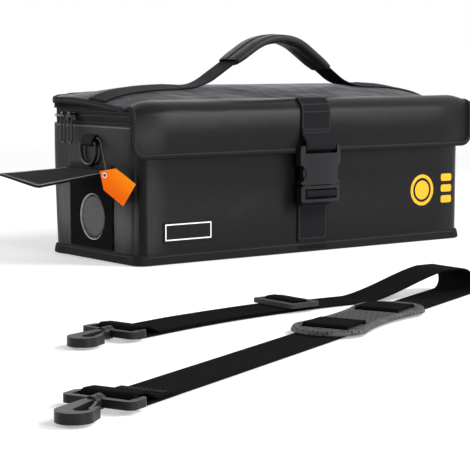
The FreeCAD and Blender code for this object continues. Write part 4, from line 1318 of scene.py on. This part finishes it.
# ---- ends of the bag ---------------------------------------------------------------------
def make_ring_tabs(webbing):
    """The webbing tabs that the side rings hang in, one at each end of the bag."""
    bar, gap, tab_thick, width = 1.75, 0.3, 1.05, 21.6
    wrap = bar + gap + 0.55
    bar_x = HALF_LENGTH + bar + gap + 1.1
    base = 116.0
    line = [Vector((HALF_LENGTH + 0.6, 0, 124.0)), Vector((HALF_LENGTH + 0.6, 0, base + 1.0))]
    for angle in map(math.radians, even(180, 345, 12)):
        line.append(Vector((bar_x + wrap * math.cos(angle), 0, base + wrap * math.sin(angle))))
    line += [Vector((bar_x + wrap - 0.1, 0, base + 2.0)), Vector((HALF_LENGTH + 2.6, 0, 122.4)),
             Vector((HALF_LENGTH + 1.7, 0, 123.8))]
    for side, name in ((-1, "ring_tab_left"), (1, "ring_tab_right")):
        run = [Vector((side * p.x, END_Y, p.z)) for p in divide(line, 1.5)]
        tab = band(name, run, Y * side, width, tab_thick, webbing, 6)
        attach(tab, "bag")
        if side < 0:
            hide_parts("ring_tabs")
        for y in (0.0, 17.0):
            row = [Vector((side * (HALF_LENGTH + 3.7), y, z)) for z in (118.5, 120.5)]
            stitch(("bag", "black"), row, X * side, radius=0.25)


def make_port(loops, hooks, felt, curtain, tape, board):
    half = 40.5
    y0, y1, z0, z1 = END_Y - half, END_Y + half, 11.0, 85.5
    count = 44
    grid = []
    for z in even(z0, z1, count):
        row = []
        for y in even(y0, y1, count):
            edge = min(y - y0, y1 - y, z - z0, z1 - z)
            rise = 1.5 * min(1.0, edge / 1.2 + 0.25)
            fuzz = 0.25 * noise.noise(Vector((y * 0.9, z * 0.9, 0))) if edge > 0.5 else 0.0
            row.append(Vector((-HALF_LENGTH - rise - fuzz, y, z)))
        grid.append(row)
    patch = grid_piece("port_loop_pile", grid, loops, flip=True)
    thicken(patch, 1.2)
    bore(bake(patch), PORT_RADIUS + 0.4)
    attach(patch, "bag")
    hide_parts("port_loop_patch")

    rows = []
    turns = [2 * math.pi * k / 64 for k in range(65)]
    for x, radius in ((-215.9, 23.0), (-216.0, 22.8), (-215.8, 22.5), (-215.0, 22.4), (-213.9, 22.5),
                      (-213.6, 23.0)):
        rows.append([Vector((x, PORT_Y + radius * math.sin(a), PORT_Z + radius * math.cos(a)))
                     for a in turns])
    edge = grid_piece("port_cut_edge", rows, board, flip=True)
    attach(edge, "bag")

    hinge_x, hinge_z = -219.5, 88.0
    droop = math.radians(9.5)
    ahead = Vector((-math.cos(droop), 0, -math.sin(droop)))
    up = Vector((-math.sin(droop), 0, math.cos(droop)))
    start = Vector((hinge_x, END_Y, hinge_z))
    reach = 81.5
    wide = 40.0

    def lifted(r, y):
        """The flap is a little twisted: its free edge stands higher at the back."""
        return Z * (r / reach * (3.0 + 8.0 * (y + wide) / (2 * wide)))

    def slab(name, reach0, reach1, half_y, low, high, material, corner):
        """A soft-edged rectangle on the flap's plane between two heights."""
        cells = 26
        middle = (reach0 + reach1) / 2
        half_r = (reach1 - reach0) / 2
        mid = (low + high) / 2
        top, bottom = [], []
        for r in even(reach0, reach1, cells):
            upper, under = [], []
            for y in even(-half_y, half_y, cells):
                rr, yy = r, y
                a = abs(rr - middle) - (half_r - corner)
                b = abs(yy) - (half_y - corner)
                if a > 0 and b > 0 and math.hypot(a, b) > corner:
                    scale = corner / math.hypot(a, b)
                    rr = middle + math.copysign(half_r - corner + a * scale, rr - middle)
                    yy = math.copysign(half_y - corner + b * scale, yy)
                edge = min(half_r - abs(r - middle), half_y - abs(y))
                soft = min(1.0, edge / 1.2)
                warp = 0.5 * noise.noise(Vector((rr * 0.03, yy * 0.03, 6.0)))
                place = start + ahead * rr + Y * yy + lifted(rr, yy)
                thick = (high - low) / 2 * (0.35 + 0.65 * soft)
                upper.append(place + up * (mid + thick + warp))
                under.append(place + up * (mid - thick + warp))
            top.append(upper)
            bottom.append(under)
        size = cells + 1
        points = [p for row in top + bottom for p in row]
        faces, uvs = [], []
        for i in range(cells):
            for k in range(cells):
                a = i * size + k
                face = [a, a + 1, a + size + 1, a + size]
                place = [(k, i), (k + 1, i), (k + 1, i + 1), (k, i + 1)]
                place = [(p * 2 * half_y / cells, q * (reach1 - reach0) / cells) for p, q in place]
                faces.append(face)
                uvs.append(place)
                faces.append([f + size * size for f in face][::-1])
                uvs.append(place[::-1])
        border = rim_of_grid(size, size)
        for i in range(len(border)):
            a, b = border[i], border[(i + 1) % len(border)]
            faces.append([b, a, a + size * size, b + size * size])
            uvs.append([(i + 1, 0), (i, 0), (i, 2), (i + 1, 2)])
        return link_mesh(name, points, faces, material, uvs)

    flap = slab("port_flap_felt", 1.5, reach, wide, -1.2, 1.2, felt, 6.0)
    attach(flap, "port_cover")
    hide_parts("port_flap")
    pad = slab("port_flap_hook_pile", 8.5, 74.5, 33.0, -2.5, -1.15, hooks, 2.0)
    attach(pad, "port_cover")
    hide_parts("port_flap_hooks")
    for inset in (2.2, 4.4):
        far, side, cut = reach - inset, wide - inset, 2
        corners = [(3.0, -side), (far - cut, -side), (far, cut - side), (far, side - cut), (far - cut, side),
                   (3.0, side)]
        line = [start + ahead * r + Y * y + up * 1.25 + lifted(r, y) for r, y in corners]
        stitch(("port_cover", "pale"), line, up, pitch=2.6, length=1.7, radius=0.26)

    corners = [Vector((x, END_Y, z)) for x, z in (
        (-215.55, 95.0), (-215.55, 90.2), (-219.5, 89.6), (-220.3, 87.2))]
    line = arc_run(corners, [2.0, 1.4], 0.3)
    seam = band("port_flap_hinge_tape", divide(line, 1.5), Y, 79.6, 1.0, tape, 20)
    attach(seam, "bag")
    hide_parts("port_flap_seam")
    row = [Vector((-216.2, y, 93.2)) for y in even(-30.0, 47.0, 20)]
    stitch(("bag", "black"), row, -X, radius=0.25)

    grid = []
    for z in even(75.5, 7.5, 48):
        row = []
        for y in even(PORT_Y - 31.0, PORT_Y + 31.0, 48):
            bulge = 5.0 * smooth((22.2 - math.hypot(y - PORT_Y, z - PORT_Z)) / 2.4)
            row.append(Vector((-209.0 - bulge, y, z)))
        grid.append(row)
    hanging = grid_piece("port_curtain_cloth", grid, curtain)
    thicken(hanging, 0.7, 0.0)
    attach(hanging, "curtain")
    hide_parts("port_curtain")


def make_marks(ink):
    """A plain printed decoration at the front's right: a ring round a disc, and three bars."""
    y = FRONT - 0.24

    def disc(name, outer, inner):
        x, z = 157.0, 56.0
        points, faces, uvs = [], [], []
        turns = 48
        for k in range(turns):
            angle = 2 * math.pi * k / turns
            for radius in (outer, inner):
                points.append((x + radius * math.cos(angle), y, z + radius * math.sin(angle)))
        for k in range(turns):
            a, b = 2 * k, 2 * ((k + 1) % turns)
            face = [a, b, b + 1, a + 1]
            faces.append(face)
            uvs.append([(points[f][0] + HALF_LENGTH, points[f][2]) for f in face])
        piece = link_mesh(name, points, faces, ink, uvs)
        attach(piece, "bag")

    disc("printed_ring", 17.0, 13.2)
    disc("printed_disc", 10.4, 0.01)
    half_w, half_h, corner = 8.0, 4.0, 2.4
    for letter, z in zip("abc", (42.5, 54.5, 66.5)):
        points = []
        for cx, cz, start in ((1, 1, 0), (-1, 1, 90), (-1, -1, 180), (1, -1, 270)):
            for angle in map(math.radians, even(start, start + 90, 6)):
                points.append((193.5 + cx * (half_w - corner) + corner * math.cos(angle), y,
                               z + 2.0 + cz * (half_h - corner) + corner * math.sin(angle)))
        face = list(range(len(points)))
        uvs = [[(p[0] + HALF_LENGTH, p[2]) for p in points]]
        piece = link_mesh("printed_bar_" + letter, points, [face], ink, uvs)
        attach(piece, "bag")


# ---- the shoulder strap ------------------------------------------------------------------
SHORT_START = Vector((-498.0, -405.0, 0.0))
SHORT_TURN = 15.0
BOW = 18.0
BEND = 675.0
STRAIGHT = 110.0
LONG_START = Vector((-626.0, -604.0, 0.0))
LOOP = 4.05
FOLD = 10.0
STRAP_Z = 0.8
SECOND_Z = 2.7
FRAME_AT = 59.3
BOW_START = FRAME_AT + 30.0
GLIDE_AT = 150.0
PAD_AT = 396.0
PAD_WINDOW = 45.0
PAD_SLOT = 15.5


def heading(turn):
    return Vector((math.cos(math.radians(turn)), math.sin(math.radians(turn)), 0))


def bow_point(distance):
    pivot = SHORT_START + heading(SHORT_TURN) * BOW_START + heading(SHORT_TURN - 90) * BEND
    turn = SHORT_TURN - math.degrees(distance / BEND)
    return pivot + heading(turn + 90) * BEND, turn


def fold_frame():
    bow_end, end_turn = bow_point(math.radians(BOW) * BEND)
    short_end = bow_end + heading(end_turn) * STRAIGHT
    to_fold = (short_end - LONG_START).normalized()
    ahead = (heading(end_turn) + to_fold).normalized()
    across = Z.cross(ahead)
    sidestep = across * (math.pi * FOLD * math.tan(to_fold.angle(ahead)))
    return short_end - sidestep * 0.5, ahead, short_end - sidestep, short_end


def hook_turn(start, turn, tail):
    """The webbing's line round a hook's bar, from the upper layer to the lower."""
    reach = FRAME_AT - LOOP
    high = STRAP_Z + 2 * LOOP
    corners = [(BOW_START + tail, SECOND_Z), (reach + 26, SECOND_Z), (reach + 14, high - 1.0),
               (reach, high), (reach, STRAP_Z), (BOW_START, STRAP_Z)]
    line = arc_run([Vector((x, 0, z)) for x, z in corners], [LOOP] * 4, 0.25)
    return put_down(line, turn, start)


def put_down(points, turn, start):
    """Points turned about Z by an angle in degrees and moved to a start."""
    rotation = Matrix.Rotation(math.radians(turn), 4, "Z")
    return [rotation @ p + start for p in points]


def arch(near, far, low, high, radius, longest):
    """A line that rises, runs level over a bar and comes down: near and far each give a foot's
    place and a shoulder's place along it."""
    corners = [Vector((x, 0, z)) for x, z in ((near[0], low), (near[1], high), (far[1], high), (far[0], low))]
    return divide(arc_run(corners, [radius] * 2, 0.3), longest)


def make_strap(webbing):
    line, sides = [], []

    def add(points, side):
        for p in points:
            if not line or (p - line[-1]).length > 0.05:
                line.append(p)
                sides.append(side)

    for k in range(29):
        place, turn = bow_point((GLIDE_AT - 5.0) * (1 - k / 28))
        add([place + Z * SECOND_Z], heading(turn + 90))
    add(divide(hook_turn(SHORT_START, SHORT_TURN, 0.0), 3.0), heading(SHORT_TURN + 90))
    bow_length = math.radians(BOW) * BEND
    for k in range(1, 41):
        place, turn = bow_point(bow_length * k / 40)
        add([place + Z * STRAP_Z], heading(turn + 90))
    middle, ahead, long_end, short_end = fold_frame()
    bow_end, end_turn = bow_point(bow_length)
    top = STRAP_Z + 2 * FOLD
    for k in range(1, 31):
        share = k / 30
        z = STRAP_Z + (top - STRAP_Z) * min(1.0, max(0.0, (smooth(share) - 0.03) / 0.90))
        add([bow_end + heading(end_turn) * (STRAIGHT * share) + Z * z], heading(end_turn + 90))
    across = Z.cross(ahead)
    long_ahead = (LONG_START - long_end).normalized()
    for k in range(1, 16):
        angle = math.pi * k / 16
        share = k / 16
        place = short_end.lerp(long_end, share) + ahead * (FOLD * math.sin(angle))
        z = STRAP_Z + FOLD + FOLD * math.cos(angle)
        side = heading(end_turn + 90) if share < 0.5 else Z.cross(-long_ahead)
        add([Vector((place.x, place.y, z))], side.lerp(across, math.sin(angle)).normalized())
    long_turn = math.degrees(math.atan2(-long_ahead.y, -long_ahead.x))
    for x in even((long_end - LONG_START).length, BOW_START, 60):
        add([LONG_START + heading(long_turn) * x + Z * STRAP_Z], heading(long_turn + 90))
    add(divide(hook_turn(LONG_START, long_turn, 8.0)[::-1], 3.0), heading(long_turn + 90))

    def wander(place, _, __):
        near = min((place - LONG_START).length - 95.0, (place - SHORT_START).length - 95.0)
        if near < 0:
            return place
        rough = max(0.0, noise.noise(Vector((place.x * 0.02, place.y * 0.02, 2.0))))
        return place + Z * (0.35 * rough * min(1.0, near / 40))

    strap = band("strap_webbing", line, sides, STRAP_WIDTH, WEBBING, webbing, 8, wander)
    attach(strap, "strap")
    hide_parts("strap_webbing_adjuster", "strap_webbing_short_run", "strap_webbing_fold",
                "strap_webbing_long_run")

    place, turn = bow_point(GLIDE_AT)
    z0 = SECOND_Z + 0.8 + 0.3
    over = z0 + 3.5 + 0.3 + 0.8
    hump = arch((-7.6, -4.8), (7.6, 4.8), z0 + 0.2, over, 2.0, 1.5)
    glide = band("glide_webbing_turn", put_down(hump, turn, place), heading(turn + 90), STRAP_WIDTH, WEBBING,
                 webbing, 8)
    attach(glide, "glide")
    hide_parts("glide_webbing")

    place = LONG_START + heading(long_turn) * PAD_AT
    for letter, middle in (("a", -PAD_WINDOW), ("b", PAD_WINDOW)):
        near, far = middle - PAD_SLOT, middle + PAD_SLOT
        hump = arch((near, near + 0.3), (far, far - 0.3), 1.9 + 0.2, 1.9 + 4.0 + 0.3 + 0.8, 1.6, 2.0)
        line = put_down(hump, long_turn, place)
        window = band("pad_webbing_" + letter, line, heading(long_turn + 90), 37.0, WEBBING, webbing, 8)
        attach(window, "pad")
        if letter == "a":
            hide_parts("pad_webbing")

    ahead = heading(long_turn)
    side = heading(long_turn + 90)
    for reach in (BOW_START + 5.0, BOW_START + 2.0, BOW_START - 20.0):
        start = LONG_START + ahead * reach
        row = [start + side * y + Z * (SECOND_Z + 0.85) for y in even(-16.5, 16.5, 10)]
        stitch(("strap", "black"), row, Z, radius=0.26)
    return place, long_turn


def make_pad(rubber, place, turn):
    """The pad: a waisted sheet with a smooth rim, four slots and a grid of small pips."""
    rotation = Matrix.Rotation(math.radians(turn), 4, "Z")
    half, end_radius, waist = 80.0, 29.0, 23.0
    run = half - end_radius

    def half_width(x):
        if abs(x) <= run:
            return waist + (end_radius - waist) * (x / run) ** 2
        return math.sqrt(max(0.0, end_radius ** 2 - (abs(x) - run) ** 2))

    def in_slot(x, y):
        return abs(y) < 19.6 and any(abs(x - side - edge) < 2.4 for side in (-PAD_WINDOW, PAD_WINDOW)
                                     for edge in (-PAD_SLOT, PAD_SLOT))

    nx = int(2 * half)
    ny = 60
    low, high = 1.95, 5.6
    keep = {}
    points, faces = [], []

    def vertex(i, k, top):
        key = (i, k, top)
        if key not in keep:
            x = -half + 2 * half * i / nx
            width = max(0.4, half_width(max(-half + 0.05, min(half - 0.05, x))))
            y = -width + 2 * width * k / ny
            edge = min(width - abs(y), half - abs(x))
            if abs(x) > run:
                edge = end_radius - math.hypot(abs(x) - run, y)
            z = low
            if top:
                z = high if edge > 1.6 else low + (high - low) * math.sqrt(max(0.05, edge / 1.6))
                if edge > 4.2:
                    z = high - 0.55
                elif edge > 3.4:
                    z = high - 0.55 * (edge - 3.4) / 0.8
            keep[key] = len(points)
            points.append(rotation @ Vector((x, y, z)) + place)
        return keep[key]

    def solid(i, k):
        x = -half + 2 * half * (i + 0.5) / nx
        width = half_width(x)
        y = -width + 2 * width * (k + 0.5) / ny
        return not in_slot(x, y)

    for i in range(nx):
        for k in range(ny):
            if not solid(i, k):
                continue
            cell = [(i, k), (i + 1, k), (i + 1, k + 1), (i, k + 1)]
            faces.append([vertex(*corner, 1) for corner in cell])
            faces.append([vertex(*corner, 0) for corner in cell[::-1]])
            for (di, dk), a, b in zip(((0, -1), (1, 0), (0, 1), (-1, 0)), cell, cell[1:] + cell[:1]):
                ni, nk = i + di, k + dk
                if 0 <= ni < nx and 0 <= nk < ny and solid(ni, nk):
                    continue
                faces.append([vertex(*a, 0), vertex(*b, 0), vertex(*b, 1), vertex(*a, 1)])
    pad = link_mesh("shoulder_pad_rubber", points, faces, rubber)
    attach(pad, "pad")
    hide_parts("shoulder_pad")

    points, faces = [], []
    pitch = 2.9
    for i in range(-28, 29):
        for k in range(-10, 11):
            x, y = i * pitch, k * pitch
            if abs(x) > half - 4:
                continue
            width = half_width(x)
            edge = width - abs(y) if abs(x) <= run else end_radius - math.hypot(abs(x) - run, y)
            from_window = abs(x) - PAD_WINDOW
            near_slot = abs(y) < 21.0 and any(abs(from_window - e) < 3.9 for e in (-PAD_SLOT, PAD_SLOT))
            inside_window = abs(from_window) < PAD_SLOT and abs(y) < 19.5
            if edge < 5.4 or near_slot or inside_window:
                continue
            base = len(points)
            for radius, z in ((1.05, high - 0.6), (0.85, high - 0.05)):
                for angle in [2 * math.pi * k / 8 for k in range(8)]:
                    pip = Vector((x + radius * math.cos(angle), y + radius * math.sin(angle), z))
                    points.append(rotation @ pip + place)
            faces += tube_faces(base, 2, 8)
            faces.append([base + 8 + t for t in range(8)])
    pips = link_mesh("shoulder_pad_pips", points, faces, rubber)
    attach(pips, "pad")


# ---- the tag's string --------------------------------------------------------------------
def make_string(material):
    curve = bpy.data.curves.new("tag_string_cord", "CURVE")
    curve.dimensions = "3D"
    spline = curve.splines.new("NURBS")
    route = [(-216.2, -3.1, 121.0), (-216.2, -10.0, 120.5), (-222.5, -24.0, 106.0),
             (-230.894, -44.617, 89.5), (-235.279, -46.569, 87.5)]
    spline.points.add(len(route) - 1)
    for point, place in zip(spline.points, route):
        point.co = (*[value * MM for value in place], 1.0)
    spline.order_u = 3
    spline.use_endpoint_u = True
    spline.resolution_u = 12
    curve.bevel_depth = 0.5 * MM
    curve.bevel_resolution = 3
    curve.use_fill_caps = True
    curve.materials.append(material)
    string = bpy.data.objects.new("tag_string_cord", curve)
    bpy.context.scene.collection.objects.link(string)
    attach(string, "tag")
    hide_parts("tag_string")


# ---- light and floor ---------------------------------------------------------------------
def add_node(tree, kind, *sources, **settings):
    """A node with its first inputs linked or set, and its settings made; a None is passed over."""
    node = tree.nodes.new("ShaderNode" + kind)
    for name, value in settings.items():
        setattr(node, name, value)
    for slot, source in enumerate(sources):
        if isinstance(source, bpy.types.NodeSocket):
            tree.links.new(source, node.inputs[slot])
        elif source is not None:
            node.inputs[slot].default_value = source
    return node


def white_for_view(tree):
    """One where a ray comes from the camera, a gloss or glass, and nought elsewhere."""
    path = add_node(tree, "LightPath").outputs
    either = add_node(tree, "Math", path["Is Camera Ray"], path["Is Glossy Ray"], operation="MAXIMUM")
    return add_node(tree, "Math", either.outputs[0], path["Is Transmission Ray"],
                    operation="MAXIMUM").outputs[0]


def add_stage():
    """A pale floor that fades to white far away, and a white world that lights it dimly."""
    floor_mesh = bpy.data.meshes.new("floor")
    size = 14.0
    corners = [(-size, -size, 0), (size, -size, 0), (size, size, 0), (-size, size, 0)]
    floor_mesh.from_pydata(corners, [], [[0, 1, 2, 3]])
    floor = bpy.data.objects.new("floor", floor_mesh)
    floor.location.z = -0.0004
    bpy.context.scene.collection.objects.link(floor)
    material = bpy.data.materials.new("floor")
    material.use_nodes = True
    tree = material.node_tree
    shader = tree.nodes["Principled BSDF"]
    shader.inputs["Base Color"].default_value = (0.84, 0.84, 0.84, 1)
    shader.inputs["Roughness"].default_value = 0.9
    shader.inputs["Specular IOR Level"].default_value = 0.1
    white = (1, 1, 1, 1)
    share = add_node(tree, "Math", white_for_view(tree), 0.30, operation="MULTIPLY")
    glow = add_node(tree, "Emission", white, share.outputs[0])
    lit = add_node(tree, "AddShader", shader.outputs[0], glow.outputs[0])
    place = add_node(tree, "NewGeometry")
    distance = add_node(tree, "VectorMath", place.outputs["Position"], operation="LENGTH")
    painted_shade_down = add_node(tree, "MapRange", distance.outputs["Value"], 0.8, 2.2, interpolation_type="SMOOTHSTEP")
    seen_far = add_node(tree, "Math", painted_shade_down.outputs[0], white_for_view(tree), operation="MULTIPLY")
    far = add_node(tree, "Emission", white)
    both = add_node(tree, "MixShader", seen_far.outputs[0], lit.outputs[0], far.outputs[0])
    tree.links.new(both.outputs[0], tree.nodes["Material Output"].inputs["Surface"])
    floor_mesh.materials.append(material)

    world = bpy.data.worlds.new("studio")
    bpy.context.scene.world = world
    world.use_nodes = True
    tree = world.node_tree
    background = tree.nodes["Background"]
    background.inputs["Color"].default_value = white
    strength = add_node(tree, "MapRange", white_for_view(tree), None, None, 0.28, 1.0)
    tree.links.new(strength.outputs[0], background.inputs["Strength"])


def add_light(name, place, target, width, height, watts):
    data = bpy.data.lights.new(name, "AREA")
    data.shape = "RECTANGLE"
    data.size = width
    data.size_y = height
    data.energy = watts
    light = bpy.data.objects.new(name, data)
    bpy.context.scene.collection.objects.link(light)
    light.location = place
    light.visible_camera = False
    light.rotation_euler = (Vector(target) - Vector(place)).to_track_quat("-Z", "Y").to_euler()


def add_lights():
    add_light("key_front_right", (0.8, -1.1, 1.15), (-0.05, -0.08, 0.14), 0.6, 0.8, 30)
    add_light("front_strip", (-0.12, -2.3, 0.56), (-0.2, -0.08, 0.08), 0.6, 1.1, 30)
    add_light("end_strip", (-1.75, 1.65, 0.85), (-0.215, 0.0, 0.08), 0.8, 0.9, 36)
    add_light("top_back", (1.0, 2.5, 1.5), (0, 0, 0.15), 2.6, 1.0, 9)


# ---- everything --------------------------------------------------------------------------
def paint(material, *names):
    """Gives CAD nodes that stay their material."""
    for name in names:
        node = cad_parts[name]
        node.data.materials.clear()
        node.data.materials.append(material)


def main():
    add_camera()
    make_string(twine())
    bpy.context.scene.view_settings.view_transform = "Standard"

    cloth = bag_cloth()
    top_cloth = lid_cloth()
    tape = tape_cloth("binding_tape", (0.011, 0.011, 0.0125), 0.9)
    zip_tape = tape_cloth("zip_tape", (0.008, 0.008, 0.0095), 0.8)
    web = webbing_cloth("webbing", (0.007, 0.007, 0.0085))
    strap_web = webbing_cloth("strap_webbing", (0.004, 0.004, 0.0045), 1.1, 1.8, 0.16, 0.8, 0.012)
    coil = moulded("zip_teeth", (0.015, 0.015, 0.017), 0.35)
    buckle = moulded("buckle_plastic", (0.009, 0.009, 0.0105), 0.30, 0.18)
    hook_plastic = moulded("hook_metal", (0.011, 0.011, 0.0125), 0.38, 0.15)
    glide_plastic = moulded("glide_plastic", (0.026, 0.026, 0.028), 0.45, 0.15)
    lining = lining_cloth()
    board = foam()
    make_shell(cloth, tape)
    make_lining(lining)
    make_lid(cloth, top_cloth, tape, lining, board)
    make_flap(bag_cloth("flap_cloth", True), tape)
    make_zip(zip_tape, coil)
    make_handle(web, grip_cloth())
    make_front_webbing(web)
    make_ring_tabs(web)
    make_port(pile("loop_pile", (0.006, 0.006, 0.007), 1.1, 0.5),
              pile("hook_pile", (0.008, 0.008, 0.009), 0.8, 0.4),
              pile("port_felt", (0.010, 0.010, 0.011), 1.4, 0.25), curtain_cloth(), tape, board)
    make_marks(printed("printed_yellow", (0.66, 0.37, 0.012)))
    place, turn = make_strap(strap_web)
    make_pad(pad_rubber(), place, turn)
    make_stitching({"black": thread("thread_black", (0.036, 0.036, 0.040)),
                    "pale": thread("thread_pale", (0.30, 0.30, 0.31))})
    paint(board, "long_boards", "left_board", "right_board", "bottom_board")
    paint(metal("slider_metal", (0.04, 0.04, 0.045), 0.28),
          "zip_slider_front", "zip_slider_back", "zip_pull_front", "zip_pull_back")
    paint(moulded("ring_metal", (0.008, 0.008, 0.009), 0.3, 0.2), "ring_left", "ring_right")
    paint(buckle, "buckle_socket", "buckle_plug", "buckle_arm_left", "buckle_arm_right")
    paint(label_rubber(), "label_patch")
    paint(card(), "tag_card")
    paint(metal("tag_eyelet", (0.85, 0.85, 0.86), 0.25), "tag_eyelet")
    paint(hook_plastic, "hook_a", "hook_b", "hook_gate_a", "hook_gate_b", "hook_frames")
    paint(glide_plastic, "glide_frame")
    add_stage()
    add_lights()


main()
